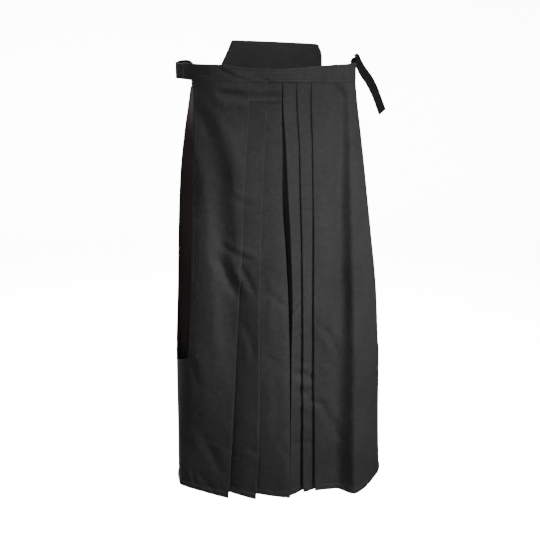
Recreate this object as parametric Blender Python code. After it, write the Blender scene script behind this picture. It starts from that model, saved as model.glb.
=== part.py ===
"""Hakama: pleated, divided trousers with a back board and a webbing belt.

The garment stands as a general figure fills it out, with nobody in it.
Metres, +Z up, front towards -Y. The origin is the middle of the waist opening.
"Right" and "left" are the wearer's: the right leg is on the -X side.
Every cloth piece is a closed wall, lofted through level rows of plan points.
"""

from collections import namedtuple
from math import acos, asin, cos, hypot, pi, sin

import bmesh
import bpy
from mathutils import Vector

MM = 0.001

# Driving dimensions
CLOTH = 1.2 * MM            # wall of the folded twill
LAYER = 2.8 * MM            # step from one folded layer to the next
SEAM_GAP = 0.3 * MM         # space between pieces that are sewn together
FRONT_LENGTH = 910 * MM     # front waist seam to hem
BAND_RISE = 9 * MM          # how far that seam curves up at the middle
BAND_THICKNESS = 4 * MM
BAND_PROUD = 1.5 * MM       # waistband face in front of the cloth below it
BACK_BAND_HEIGHT = 35 * MM
BACK_BAND_DROP = 44 * MM    # back waist seam below the front one
BOARD_THICKNESS = 5 * MM
WEBBING_WIDTH = 32 * MM
WEBBING_THICKNESS = 1.8 * MM
WAIST_TILT = 0.044          # the waist drops this much per metre towards +X
SEAM_Z = -17.5 * MM         # front waist seam at the middle
HEM_Z = SEAM_Z - FRONT_LENGTH
CROTCH_Z = -500 * MM        # top of the inner legs
MIDDLE_FLAT = 8 * MM        # level stretch of the back cloth beside its seam
FRONT_ROUND = 2.0           # superellipse exponent of the front's plan curve
BACK_ROUND = 3.0            # the same for the flatter back

# The shell, row by row down the garment (millimetres).
# half_r, half_l: half width on the -X and +X sides; front_r, front_l, back: depth
# slit_r, slit_l, slit_b: how far the cut edges stand off the side line
# settle: how much of the waist's tilt the row still follows
Shell = namedtuple(
    "Shell", "z half_r half_l front_r front_l back slit_r slit_l slit_b settle"
)
SHELL = [
    Shell(-17.5, 196, 176, 115, 115, 105, 56, 30, 80, 1.0),
    Shell(-55, 198, 179, 115, 114, 105, 58, 28, 78, 0.9),
    Shell(-150, 200, 190, 116, 113, 106, 58, 24, 70, 0.5),
    Shell(-240, 203, 201, 117, 112, 107, 58, 22, 62, 0.2),
    Shell(-360, 206, 215, 118, 111, 108, 57, 20, 56, 0.0),
    Shell(-490, 207, 231, 120, 110, 110, 54, 20, 48, 0.0),
    Shell(-614, 210, 239, 122, 109, 112, 50, 20, 36, 0.0),
    Shell(-640, 210, 241, 122, 109, 112, 0, 0, 0, 0.0),
    Shell(-780, 210, 243, 124, 108, 114, 0, 0, 0, 0.0),
    Shell(-927.5, 211, 248, 125, 107, 116, 0, 0, 0, 0.0),
]

# Folds of a front panel, row by row. Distances run outwards from the middle.
# fold_1 is the edge of the outermost panel, fold_3 the edge beside the middle.
# tuck: cloth folded under each edge; open: how far the next strip stands back.
Folds = namedtuple(
    "Folds", "fold_1 fold_2 fold_3 tuck_1 tuck_2 tuck_3 open_1 open_2 open_3"
)
FRONT_RIGHT_FOLDS = [
    Folds(65, 31, 1.5, 30, 26, 22, 0, 0, 0),
    Folds(66, 31, 2, 32, 26, 22, 0, 0, 1),
    Folds(72, 36, 2, 38, 28, 24, 0, 0, 6),
    Folds(78, 40, 1, 44, 30, 28, 0, 0, 12),
    Folds(82, 44, -7, 48, 30, 34, 3, 2, 16),
    Folds(90, 47, -13, 52, 34, 38, 12, 5, 20),
    Folds(97, 48, -11.5, 56, 38, 40, 18, 8, 22),
    Folds(98, 48, -11.5, 57, 38, 40, 19, 8, 22),
    Folds(106, 50, -13.5, 60, 42, 44, 24, 15, 24),
    Folds(115, 57, -17, 62, 44, 48, 30, 27, 26),
]
FRONT_LEFT_FOLDS = [
    Folds(61, 30, 1, 30, 24, 22, 0, 0, 0),
    Folds(61, 31, 1.5, 32, 24, 22, 0, 0, 1),
    Folds(65, 37, 8, 34, 22, 22, 0, 0, 4),
    Folds(67, 40, 12.5, 36, 22, 21, 0, 1, 8),
    Folds(70, 44.5, 19, 38, 21, 20, 2, 2, 12),
    Folds(71, 47, 23, 40, 20, 19, 3, 4, 14),
    Folds(73, 48.5, 21, 42, 20, 21, 4, 5, 16),
    Folds(73, 48.5, 21, 42, 20, 21, 4, 5, 16),
    Folds(76, 50, 21, 44, 21, 23, 5, 7, 16),
    Folds(78, 51, 22, 46, 22, 24, 6, 9, 16),
]
FRONT_MIDDLE = [0, 0, 3, 6, 13, 18, 16.5, 16.5, 17, 19.5]    # middle seam, mm to +X

# flat: share by which the right outer cloth straightens between fold 1 and its side
# lift_r, lift_l: how far the edges beside the middle stand out (millimetres)
Hang = namedtuple("Hang", "flat lift_r lift_l")
HANGS = [
    Hang(0, 0, 0),
    Hang(0, 0, 0),
    Hang(0, 0, 0),
    Hang(0, 0, 1),
    Hang(0, 0, 3),
    Hang(0, 0, 6),
    Hang(0, 0, 8),
    Hang(0, 0, 8),
    Hang(0.5, 2, 8),
    Hang(0.8, 4, 9),
]
SIDE_CORNER = 20 * MM       # depth of the soft corner in front of the right side seam

# The soft trough and ridge that run down each outer front panel (millimetres).
Swell = namedtuple("Swell", "trough_at trough_in ridge_at ridge_out")
FRONT_RIGHT_SWELL = [
    Swell(160, 0, 140, 0),
    Swell(158, 3, 130, 2),
    Swell(144, 7, 108, 3),
    Swell(126, 8, 98, 3),
    Swell(120, 8, 150, 3),
    Swell(112, 6, 150, 3),
    Swell(112, 3, 150, 2),
    Swell(112, 3, 150, 2),
    Swell(140, 4, 185, 0),
    Swell(165, 4, 195, 0),
]
FRONT_LEFT_SWELL = [
    Swell(112, 1, 146, 0),
    Swell(126, 6, 148, 4),
    Swell(133, 8, 152, 8),
    Swell(133, 8, 153, 11),
    Swell(137, 8, 157, 15),
    Swell(139, 7, 159, 20),
    Swell(140, 5, 160, 25),
    Swell(140, 5, 160, 26),
    Swell(142, 3, 162, 32),
    Swell(144, 0, 165, 40),
]
TROUGH_REACH = 16 * MM
RIDGE_REACH_IN = 20 * MM    # the ridge falls steeply towards the trough
RIDGE_REACH_OUT = 42 * MM   # and gently towards the side

# The fold beside each back panel's middle seam, row by row (millimetres).
BackFold = namedtuple("BackFold", "fold tuck open")
BACK_FOLDS = [
    BackFold(38, 30, 0),
    BackFold(39, 32, 0),
    BackFold(42, 36, 1),
    BackFold(46, 40, 2),
    BackFold(50, 46, 3),
    BackFold(54, 50, 4),
    BackFold(58, 54, 5),
    BackFold(59, 55, 5),
    BackFold(64, 60, 8),
    BackFold(70, 64, 12),
]

# Plan stations: spans of cloth between two named points are cut this finely.
SIDE_SPANS = 14
TUCK_SPANS = 2
BAND_SPANS = 20
BOARD_SPANS = 12
LEG_SPANS = 8

FRONT_BAND_RIGHT_END = -189 * MM
FRONT_BAND_LEFT_END = 170 * MM
# Upper edge of the front waistband (millimetres): it dips softly at the middle.
BandTop = namedtuple("BandTop", "x z")
FRONT_BAND_TOP = [
    BandTop(-189, 15),
    BandTop(-120, 17),
    BandTop(-60, 11),
    BandTop(10, 8.5),
    BandTop(60, 11),
    BandTop(110, 11),
    BandTop(150, 8),
    BandTop(170, 5.8),
]
BACK_BAND_END = 160 * MM
# The left panel's hem hangs a little lower at its ridge.
HEM_DIP = 5 * MM
HEM_DIP_AT = 155 * MM
HEM_DIP_REACH = 32 * MM

# Outline of the back board: height above its base, its two sides (millimetres).
BoardRow = namedtuple("BoardRow", "up right left")
BOARD_ROWS = [
    BoardRow(0, -115, 124),
    BoardRow(41, -96, 124),
    BoardRow(74, -80, 123.5),
    BoardRow(82, -76.3, 121.5),
    BoardRow(97, -70.5, 115.5),
]
BOARD_SKEW = 0.4            # the board's top edge tilts this much more than the waist

# Routes of the webbing: its middle line between the waistbands (millimetres).
# Where y is FRONT or BACK, the webbing lies flat inside that waistband.
FRONT, BACK = "front", "back"
Stop = namedtuple("Stop", "x y z")
RIGHT_BELT_ROUTE = [
    Stop(-150, FRONT, -2.5),
    Stop(-168, FRONT, -2.5),
    Stop(-182, FRONT, -3.5),
    Stop(-194, -15, -5),
    Stop(-199.5, -1, -6),
    Stop(-197.5, 12, -6),
    Stop(-189, 27, -5.5),
    Stop(-179.5, 41, -6.5),
    Stop(-168, 56, -9),
    Stop(-159, 66, -15),
    Stop(-151, BACK, -27),
    Stop(-134, BACK, -38),
]
LEFT_BELT_ROUTE = [
    Stop(134, BACK, -50),
    Stop(147, BACK, -48),
    Stop(159, BACK, -43),
    Stop(168, 51, -36),
    Stop(174, 36, -30),
    Stop(177, 20, -25),
    Stop(176.5, 4, -21),
    Stop(173, -10, -18.5),
    Stop(FRONT_BAND_LEFT_END / MM - 8, FRONT, -17),
]
# The strap's free end rises inside the waistband, turns over and hangs outside.
StrapStop = namedtuple("StrapStop", "x y z wide_x wide_y wide_z")
STRAP_END_ROUTE = [
    StrapStop(161.5, -10, -30, 10, 30.2, 2),
    StrapStop(163, -10.5, -12, 11.5, 29.5, 3),
    StrapStop(165.0, -11, 4, 14, 28, 5),
    StrapStop(167.6, -11.5, 12.4, 15, 27.5, 6.5),
    StrapStop(170.8, -12, 14, 16, 26.8, 7),
    StrapStop(174.2, -12, 11.6, 17, 26.2, 7),
    StrapStop(181, -12, 0, 18.5, 25, 6.5),
    StrapStop(189.8, -12, -16, 21, 23.2, 7),
    StrapStop(204, -12, -36, 21.5, 22.8, 7),
    StrapStop(215.2, -12, -57, 21, 23.2, 7),
    StrapStop(224.5, -12, -79, 20.5, 23.6, 7),
    StrapStop(234, -12, -104, 21, 23.2, 7),
]

# Colours (linear) and finish
TWILL_COLOUR = (0.022, 0.021, 0.021)
BOARD_COLOUR = (0.026, 0.026, 0.027)
WEBBING_COLOUR = (0.008, 0.008, 0.009)
CLOTH_ROUGHNESS = 0.85
WEBBING_ROUGHNESS = 0.7


# ---------------------------------------------------------------- plan curves

def waist_lift(x):
    """How much higher the waist sits at x than at the middle."""
    return -WAIST_TILT * x


def seam_sag(x):
    """How far the front waist seam falls below its middle, towards the ends."""
    reach = min(abs(x) / abs(FRONT_BAND_LEFT_END), 1.0)
    return BAND_RISE * reach ** 2


def round_point(angle, half, depth, power):
    """Point of a superellipse quarter: 0 is the side, pi/2 the middle."""
    across = half * cos(angle) ** (2 / power)
    return across, depth * sin(angle) ** (2 / power)


def round_depth(across, half, depth, power):
    """Depth of the same curve at a distance from the middle."""
    reach = min(abs(across) / half, 1.0)
    return depth * (1 - reach ** power) ** (1 / power)


def smooth_between(table, at):
    """Value of a two-column table at a place, eased between its rows."""
    for low, high in zip(table, table[1:]):
        if at <= high[0]:
            break
    t = min(max((at - low[0]) / (high[0] - low[0]), 0.0), 1.0)
    ease = t * t * (3 - 2 * t)
    return low[1] + (high[1] - low[1]) * ease


def hump(distance, reach):
    """Smooth bump of height one that fades out over its reach."""
    t = abs(distance) / (2 * reach)
    if t >= 1:
        return 0.0
    return (1 - t * t) ** 2


# ---------------------------------------------------------------- cloth walls

def offset_line(points, distance):
    """Move a plan line sideways, keeping its corners square."""
    moved = []
    last = len(points) - 1
    for i, point in enumerate(points):
        before = points[max(i - 1, 0)]
        after = points[min(i + 1, last)]
        normals = []
        for a, b in ((before, point), (point, after)):
            length = hypot(b[0] - a[0], b[1] - a[1])
            if length > 0:
                normals.append(((b[1] - a[1]) / length, -(b[0] - a[0]) / length))
        nx = sum(n[0] for n in normals) / len(normals)
        ny = sum(n[1] for n in normals) / len(normals)
        scale = distance / max(nx * nx + ny * ny, 0.25)
        moved.append((point[0] + nx * scale, point[1] + ny * scale))
    return moved


def wall(name, rows, colour, roughness=CLOTH_ROUGHNESS):
    """Closed wall between two faces, each a grid of 3-D points.

    rows is a list of (face_a, face_b); every face has the same point count.
    """
    mesh = bmesh.new()
    grid = []
    for face_a, face_b in rows:
        ring = [mesh.verts.new(p) for p in face_a]
        ring += [mesh.verts.new(p) for p in reversed(face_b)]
        grid.append(ring)
    count = len(grid[0])
    half = count // 2
    for upper, lower in zip(grid, grid[1:]):
        for i in range(count):
            j = (i + 1) % count
            # both faces are split along the same diagonal, so they stay parallel
            if i < half:
                mesh.faces.new((upper[i], lower[i], lower[j]))
                mesh.faces.new((upper[i], lower[j], upper[j]))
            else:
                mesh.faces.new((upper[i], lower[i], upper[j]))
                mesh.faces.new((upper[j], lower[i], lower[j]))
    for ring in (grid[0], grid[-1]):
        for i in range(half - 1):
            a, b = ring[i], ring[i + 1]
            c, d = ring[count - 2 - i], ring[count - 1 - i]
            mesh.faces.new((a, b, c))
            mesh.faces.new((a, c, d))
    bmesh.ops.recalc_face_normals(mesh, faces=mesh.faces)
    return finish(name, mesh, colour, roughness)


def finish(name, mesh, colour, roughness):
    """Turn a bmesh into an object with its own material."""
    data = bpy.data.meshes.new(name)
    mesh.to_mesh(data)
    mesh.free()
    piece = bpy.data.objects.new(name, data)
    bpy.context.scene.collection.objects.link(piece)
    material = bpy.data.materials.new(name)
    material.use_nodes = True
    shader = material.node_tree.nodes["Principled BSDF"]
    shader.inputs["Base Color"].default_value = (*colour, 1)
    shader.inputs["Roughness"].default_value = roughness
    shader.inputs["Metallic"].default_value = 0
    data.materials.append(material)
    return piece


def spans(start, end, count):
    """Evenly spaced numbers from start to end, both included."""
    return [start + (end - start) * i / count for i in range(count + 1)]


# ---------------------------------------------------------------- front panels

def front_depth(across, half, front, swell):
    """Depth of the outer front cloth at a distance from the middle."""
    depth = round_depth(across, half, front, FRONT_ROUND)
    trough = hump(across - swell.trough_at * MM, TROUGH_REACH) * swell.trough_in * MM
    past = across - swell.ridge_at * MM
    reach = RIDGE_REACH_OUT if past > 0 else RIDGE_REACH_IN
    return depth - trough + hump(past, reach) * swell.ridge_out * MM


def front_row(index, side):
    """Plan line of a front panel from its side edge to the middle seam.

    side is -1 for the right leg and +1 for the left. Depths run to the front.
    """
    shell = SHELL[index]
    right = side < 0
    folds = (FRONT_RIGHT_FOLDS if right else FRONT_LEFT_FOLDS)[index]
    swell = (FRONT_RIGHT_SWELL if right else FRONT_LEFT_SWELL)[index]
    half = (shell.half_r if right else shell.half_l) * MM
    front = (shell.front_r if right else shell.front_l) * MM
    slit = (shell.slit_r if right else shell.slit_l) * MM

    hang = HANGS[index]
    flat = hang.flat if right else 0
    lift = (hang.lift_r if right else hang.lift_l) * MM

    def depth(across):
        plain = front_depth(across, half, front, swell)
        reach = (across - edges[0]) / (half - edges[0])
        chord = ridge + (SIDE_CORNER - ridge) * reach
        return plain + (chord - plain) * flat if reach > 0 else plain

    edges = [folds.fold_1 * MM, folds.fold_2 * MM, folds.fold_3 * MM]
    tucks = [folds.tuck_1 * MM, folds.tuck_2 * MM, folds.tuck_3 * MM]
    opens = [folds.open_1 * MM, folds.open_2 * MM, folds.open_3 * MM]
    ridge = front_depth(edges[0], half, front, swell)

    turn = edges[0] + tucks[0]
    start = asin((slit / front) ** (FRONT_ROUND / 2))
    stop = acos((turn / half) ** (FRONT_ROUND / 2))
    line = []
    for angle in spans(start, stop, SIDE_SPANS):
        across = round_point(angle, half, front, FRONT_ROUND)[0]
        line.append((across, depth(across)))
    line[0] = (line[0][0], line[0][1] if slit > 0 else SEAM_GAP)
    for across in spans(turn, edges[0], TUCK_SPANS)[1:]:
        line.append((across, depth(across)))

    cover = depth
    for k in range(3):
        edge, tuck, opening = edges[k], tucks[k], opens[k]
        for across in spans(edge, edge + tuck, TUCK_SPANS):
            line.append((across, cover(across) - LAYER))
        under = spans(edge + tuck, edge, TUCK_SPANS)
        for across in under:
            lean = opening * (edge + tuck - across) / tuck
            line.append((across, cover(across) - 2 * LAYER - lean))
        if k < 2:
            nearer = edges[k + 1]
            back = cover(edge) - 2 * LAYER - opening
            front_edge = depth(nearer) + lift * k
            line.append((nearer, front_edge))

            def cover(across, a=edge, b=nearer, deep=back, near=front_edge):
                return near + (deep - near) * (across - b) / (a - b)

    middle = FRONT_MIDDLE[index] * MM * side + SEAM_GAP / 2
    line.append((middle, line[-1][1]))
    return line


def row_height(index, x, seam):
    """Height of a row at x; the top row follows the waist seam."""
    shell = SHELL[index]
    lift = waist_lift(x) + seam
    return shell.z * MM + lift * shell.settle - (SEAM_GAP if index == 0 else 0)


def hem_dip(index, x):
    """How far the front hem falls below level at x."""
    return hump(x - HEM_DIP_AT, HEM_DIP_REACH) * HEM_DIP if index == len(SHELL) - 1 else 0


def front_panel(name, side):
    rows = []
    for index in range(len(SHELL)):
        line = front_row(index, side)
        faces = []
        for distance in (-CLOTH / 2, CLOTH / 2):
            face = []
            for across, depth in offset_line(line, distance):
                x = side * across
                z = row_height(index, x, -seam_sag(x)) - hem_dip(index, x)
                face.append((x, -depth, z))
            faces.append(face)
        rows.append(faces)
    return wall(name, rows, TWILL_COLOUR)


# ---------------------------------------------------------------- back panels

def back_row(index, side):
    """Plan line of a back panel from its side edge to the middle seam."""
    shell = SHELL[index]
    fold = BACK_FOLDS[index]
    half = (shell.half_r if side < 0 else shell.half_l) * MM
    deep = shell.back * MM
    slit = shell.slit_b * MM
    edge = fold.fold * MM
    tuck = fold.tuck * MM
    turn = edge + tuck

    def depth(across):
        return round_depth(across, half, deep, BACK_ROUND)

    start = asin((slit / deep) ** (BACK_ROUND / 2))
    stop = acos((turn / half) ** (BACK_ROUND / 2))
    line = []
    for angle in spans(start, stop, SIDE_SPANS):
        across = round_point(angle, half, deep, BACK_ROUND)[0]
        line.append((across, depth(across)))
    line[0] = (line[0][0], max(line[0][1], SEAM_GAP))
    for across in spans(turn, edge, TUCK_SPANS)[1:]:
        line.append((across, depth(across)))
    for across in spans(edge, turn, TUCK_SPANS):
        line.append((across, depth(across) - LAYER))
    for across in spans(turn, edge, TUCK_SPANS):
        lean = fold.open * MM * (turn - across) / tuck
        line.append((across, depth(across) - 2 * LAYER - lean))
    line.append((MIDDLE_FLAT, deep - 2 * LAYER))
    line.append((SEAM_GAP / 2, deep - 2 * LAYER))
    return line


def back_panel(name, side):
    rows = []
    for index in range(len(SHELL)):
        line = back_row(index, side)
        shell = SHELL[index]
        faces = []
        for distance in (CLOTH / 2, -CLOTH / 2):
            face = []
            for across, depth in offset_line(line, distance):
                x = side * across
                drop = BACK_BAND_DROP * shell.settle ** 2
                face.append((x, depth, row_height(index, x, 0) - drop))
            faces.append(face)
        rows.append(faces)
    return wall(name, rows, TWILL_COLOUR)


# ---------------------------------------------------------------- inner legs

def inner_leg(name, side):
    """Wall between the legs, from the front middle seam to the back one."""
    rows = []
    table = [i for i, shell in enumerate(SHELL) if shell.z * MM < CROTCH_Z]
    heights = [CROTCH_Z, CROTCH_Z - 18 * MM] + [SHELL[i].z * MM for i in table]
    for z in heights:
        near = max(i for i, shell in enumerate(SHELL) if shell.z * MM >= z - 1e-9)
        after = min(near + 1, len(SHELL) - 1)
        top, low = SHELL[near].z * MM, SHELL[after].z * MM
        blend = 0 if near == after else (top - z) / (top - low)

        def between(values):
            return values[near] + (values[after] - values[near]) * blend

        middle = between([v * MM for v in FRONT_MIDDLE])
        front = -between([front_row(i, side)[-1][1] for i in range(len(SHELL))])
        back = between([back_row(i, side)[-1][1] for i in range(len(SHELL))])
        clear = CLOTH / 2 + SEAM_GAP
        open_legs = min((CROTCH_Z - z) / (60 * MM), 1.0)
        face_a, face_b = [], []
        for t in spans(0, 1, LEG_SPANS):
            y = front + clear + (back - clear - front - clear) * t
            spread = SEAM_GAP / 2 + open_legs * (2 + 14 * sin(pi * t)) * MM
            x = middle * (1 - t) + side * spread
            face_a.append((x, y, z))
            face_b.append((x + side * CLOTH, y, z))
        rows.append((face_a, face_b))
    return wall(name, rows, TWILL_COLOUR)


# ---------------------------------------------------------------- waist

def front_waist_depth(x):
    """Depth of the front cloth under the waistband."""
    half = (SHELL[0].half_r if x < 0 else SHELL[0].half_l) * MM
    return round_depth(x, half, SHELL[0].front_r * MM, FRONT_ROUND)


def back_waist_depth(x):
    half = (SHELL[0].half_r if x < 0 else SHELL[0].half_l) * MM
    return round_depth(x, half, SHELL[0].back * MM, BACK_ROUND)


def band_stations(start, end, half_right, half_left, power):
    """Stations along a waistband, closer together where it turns."""
    def angle_at(x):
        half = half_right if x < 0 else half_left
        angle = acos((abs(x) / half) ** (power / 2))
        return angle if x < 0 else pi - angle

    stations = []
    for angle in spans(angle_at(start), angle_at(end), BAND_SPANS):
        if angle < pi / 2:
            stations.append(-half_right * cos(angle) ** (2 / power))
        else:
            stations.append(half_left * cos(pi - angle) ** (2 / power))
    return stations


def upright_strip(name, plan, heights, thickness, side, colour):
    """Strip standing on a plan line, thickened towards the inside."""
    inner = offset_line(plan, side * thickness)
    rows = []
    for level in (1, 0):
        face_a = [(p[0], p[1], h[level]) for p, h in zip(plan, heights)]
        face_b = [(p[0], p[1], h[level]) for p, h in zip(inner, heights)]
        rows.append((face_a, face_b))
    return wall(name, rows, colour)


def front_waistband():
    stations = band_stations(
        FRONT_BAND_RIGHT_END, FRONT_BAND_LEFT_END,
        SHELL[0].half_r * MM, SHELL[0].half_l * MM, FRONT_ROUND,
    )
    cloth = [(x, -front_waist_depth(x)) for x in stations]
    plan = offset_line(cloth, BAND_PROUD)
    heights = []
    for x in stations:
        low = SEAM_Z - seam_sag(x) + waist_lift(x)
        top = smooth_between(FRONT_BAND_TOP, x / MM) * MM
        heights.append((low, top))
    return upright_strip("front_waistband", plan, heights, BAND_THICKNESS, -1, TWILL_COLOUR)


def back_seam_z(x):
    return SEAM_Z - BACK_BAND_DROP + waist_lift(x)


def back_waistband():
    stations = band_stations(
        -BACK_BAND_END, BACK_BAND_END,
        SHELL[0].half_r * MM, SHELL[0].half_l * MM, BACK_ROUND,
    )
    cloth = [(x, back_waist_depth(x)) for x in stations]
    plan = offset_line(cloth, -BAND_PROUD)
    heights = []
    for x in stations:
        heights.append((back_seam_z(x), back_seam_z(x) + BACK_BAND_HEIGHT))
    return upright_strip("back_waistband", plan, heights, BAND_THICKNESS, 1, TWILL_COLOUR)


def back_board():
    """Stiffened board that stands up inside the back waistband."""
    rows = []
    outside = BAND_THICKNESS - BAND_PROUD + SEAM_GAP
    for row in reversed(BOARD_ROWS):
        stations = spans(row.right * MM, row.left * MM, BOARD_SPANS)
        line = [(x, back_waist_depth(x)) for x in stations]
        outer = offset_line(line, outside)
        inner = offset_line(line, outside + BOARD_THICKNESS)
        rise = SEAM_GAP * 4 + row.up * MM
        skew = BOARD_SKEW * row.up / BOARD_ROWS[-1].up
        faces = []
        for line in (outer, inner):
            faces.append([
                (x, y, back_seam_z(x) + skew * waist_lift(x) + rise) for x, y in line
            ])
        rows.append(faces)
    return wall("back_board", rows, BOARD_COLOUR)


def inside_band(x, place):
    """Plan point of webbing that lies flat against the inside of a waistband."""
    depth = front_waist_depth if place == FRONT else back_waist_depth
    sign = -1 if place == FRONT else 1
    step = 1 * MM
    line = [(at, sign * depth(at)) for at in (x - step, x, x + step)]
    inward = BAND_THICKNESS - BAND_PROUD + SEAM_GAP + WEBBING_THICKNESS / 2
    return offset_line(line, sign * inward)[1]


def side_belt(name, route, side):
    """Webbing between the two waistbands, standing on edge round one side."""
    plan = []
    for stop in route:
        if stop.y in (FRONT, BACK):
            plan.append(inside_band(stop.x * MM, stop.y))
        else:
            plan.append((stop.x * MM, stop.y * MM))
    half = WEBBING_WIDTH / 2
    rows = []
    for level in (half, -half):
        faces = []
        for distance in (-WEBBING_THICKNESS / 2, WEBBING_THICKNESS / 2):
            line = offset_line(plan, side * distance)
            faces.append([(p[0], p[1], s.z * MM + level) for p, s in zip(line, route)])
        rows.append(faces)
    return wall(name, rows, WEBBING_COLOUR, WEBBING_ROUGHNESS)


def strap_end():
    """Free end of the left webbing: up, over and down outside the band."""
    middle = [Vector((s.x, s.y, s.z)) * MM for s in STRAP_END_ROUTE]
    last = len(middle) - 1
    rows = []
    for i, stop in enumerate(STRAP_END_ROUTE):
        wide = Vector((stop.wide_x, stop.wide_y, stop.wide_z)).normalized()
        along = middle[min(i + 1, last)] - middle[max(i - 1, 0)]
        out = along.cross(wide).normalized() * WEBBING_THICKNESS / 2
        edge = wide * WEBBING_WIDTH / 2
        rows.append((
            [middle[i] - edge - out, middle[i] + edge - out],
            [middle[i] - edge + out, middle[i] + edge + out],
        ))
    return wall("strap_end_left", rows, WEBBING_COLOUR, WEBBING_ROUGHNESS)


def clear_scene():
    for item in list(bpy.data.objects):
        bpy.data.objects.remove(item, do_unlink=True)


def build():
    clear_scene()
    front_panel("front_panel_right", -1)
    front_panel("front_panel_left", 1)
    back_panel("back_panel_right", -1)
    back_panel("back_panel_left", 1)
    inner_leg("inner_leg_right", -1)
    inner_leg("inner_leg_left", 1)
    front_waistband()
    back_waistband()
    back_board()
    side_belt("side_belt_right", RIGHT_BELT_ROUTE, 1)
    side_belt("side_belt_left", LEFT_BELT_ROUTE, 1)
    strap_end()


build()
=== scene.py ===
"""Hakama: pleated, divided trousers with a back board and a webbing belt.

Every cloth piece is a thin shell on the form of its solid in the frame.
Metres, +Z up, front towards -Y. Right and left are the wearer's, so the right
leg is on the -X side. The origin is the middle of the waist opening.
"""

from collections import namedtuple
from math import acos, asin, pi, radians

import bmesh
import bpy
import numpy as np
from bpy.props import FloatProperty, FloatVectorProperty, PointerProperty
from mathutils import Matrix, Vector, noise


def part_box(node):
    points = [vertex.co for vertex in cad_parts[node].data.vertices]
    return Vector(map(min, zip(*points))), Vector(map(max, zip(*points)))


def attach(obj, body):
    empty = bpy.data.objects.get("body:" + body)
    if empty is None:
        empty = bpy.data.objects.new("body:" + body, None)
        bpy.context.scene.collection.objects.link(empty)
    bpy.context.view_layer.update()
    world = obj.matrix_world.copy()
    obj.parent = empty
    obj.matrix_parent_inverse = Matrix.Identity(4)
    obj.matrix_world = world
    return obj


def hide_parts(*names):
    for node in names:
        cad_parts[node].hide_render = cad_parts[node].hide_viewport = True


bl_info = {
    "name": "Hakama",
    "version": (1, 0, 0),
    "blender": (4, 5, 0),
    "location": "View3D > Sidebar > Hakama",
    "description": "Pleated hakama with its waistbands, back board and belt",
    "category": "Add Mesh",
}

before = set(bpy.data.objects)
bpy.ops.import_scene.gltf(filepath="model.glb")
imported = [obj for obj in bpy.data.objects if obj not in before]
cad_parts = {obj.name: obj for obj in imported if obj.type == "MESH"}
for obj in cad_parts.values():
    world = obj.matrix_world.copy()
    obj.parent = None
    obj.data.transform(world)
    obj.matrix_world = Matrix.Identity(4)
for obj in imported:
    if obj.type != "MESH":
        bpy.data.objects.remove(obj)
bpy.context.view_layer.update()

MM = 0.001

# ------------------------------------------------------------- the cut and form

WAIST_TILT = 0.044          # the waist drops this much per metre towards +X
SEAM_Z = -17.5 * MM         # front waist seam at the middle
BAND_RISE = 9 * MM          # how far that seam curves up at the middle
BAND_THICKNESS = 4 * MM
BAND_PROUD = 1.5 * MM       # waistband face in front of the cloth below it
BACK_BAND_HEIGHT = 35 * MM
BACK_BAND_DROP = 44 * MM    # back waist seam below the front one
BACK_BAND_END = 160 * MM
BOARD_THICKNESS = 5 * MM
BOARD_CORNER = 3 * MM       # how round the board's upper corners are
WEBBING_WIDTH = 32 * MM
WEBBING_THICKNESS = 1.8 * MM
WEBBING_RIB = 1.6 * MM      # pitch of the webbing's cross ribs
WEBBING_YARN = 1.2 * MM     # and of its lengthwise yarns
BELT_GAP = 0.3 * MM         # between a waistband's inside and the webbing
HEM_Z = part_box("back_panel_left")[0].z
CROTCH_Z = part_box("inner_leg_left")[1].z
MIDDLE_FLAT = 8 * MM        # level stretch of the back cloth beside its seam
FRONT_ROUND = 2.0           # superellipse exponent of the front's plan curve
BACK_ROUND = 3.0            # the same for the flatter back
HEM_DIP = 5 * MM            # the left panel's hem hangs lower at its ridge
HEM_DIP_AT = 155 * MM
HEM_DIP_REACH = 32 * MM
HEM_TURN = 12.5 * MM        # stitched turn of the hem
EDGE_TURN = 7 * MM          # stitched turn of the open side edges
PLEAT_STITCH_Z = -53 * MM   # stitched line that holds the pleats below the band
SLIT_END_Z = -612 * MM      # the side slits' stitches end here
HALF_SEAM = 0.15 * MM       # from the middle line to either cloth's edge
LEAST_DEPTH = 0.3 * MM      # from the side line to either cloth's edge

# The shell, row by row down the garment (millimetres).
# half_r, half_l: half width on the -X and +X sides; front_r, front_l, back: depth
# slit_r, slit_l, slit_b: how far the cut edges stand off the side line
# settle: how much of the waist's tilt the row still follows
Shell = namedtuple(
    "Shell", "z half_r half_l front_r front_l back slit_r slit_l slit_b settle"
)
SHELL = [
    Shell(-17.5, 196, 176, 115, 115, 105, 56, 30, 80, 1.0),
    Shell(-55, 198, 179, 115, 114, 105, 58, 28, 78, 0.9),
    Shell(-150, 200, 190, 116, 113, 106, 58, 24, 70, 0.5),
    Shell(-240, 203, 201, 117, 112, 107, 58, 22, 62, 0.2),
    Shell(-360, 206, 215, 118, 111, 108, 57, 20, 56, 0.0),
    Shell(-490, 207, 231, 120, 110, 110, 54, 20, 48, 0.0),
    Shell(-614, 210, 239, 122, 109, 112, 50, 20, 36, 0.0),
    Shell(-640, 210, 241, 122, 109, 112, 0, 0, 0, 0.0),
    Shell(-780, 210, 243, 124, 108, 114, 0, 0, 0, 0.0),
    Shell(-927.5, 211, 248, 125, 107, 116, 0, 0, 0, 0.0),
]

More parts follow.
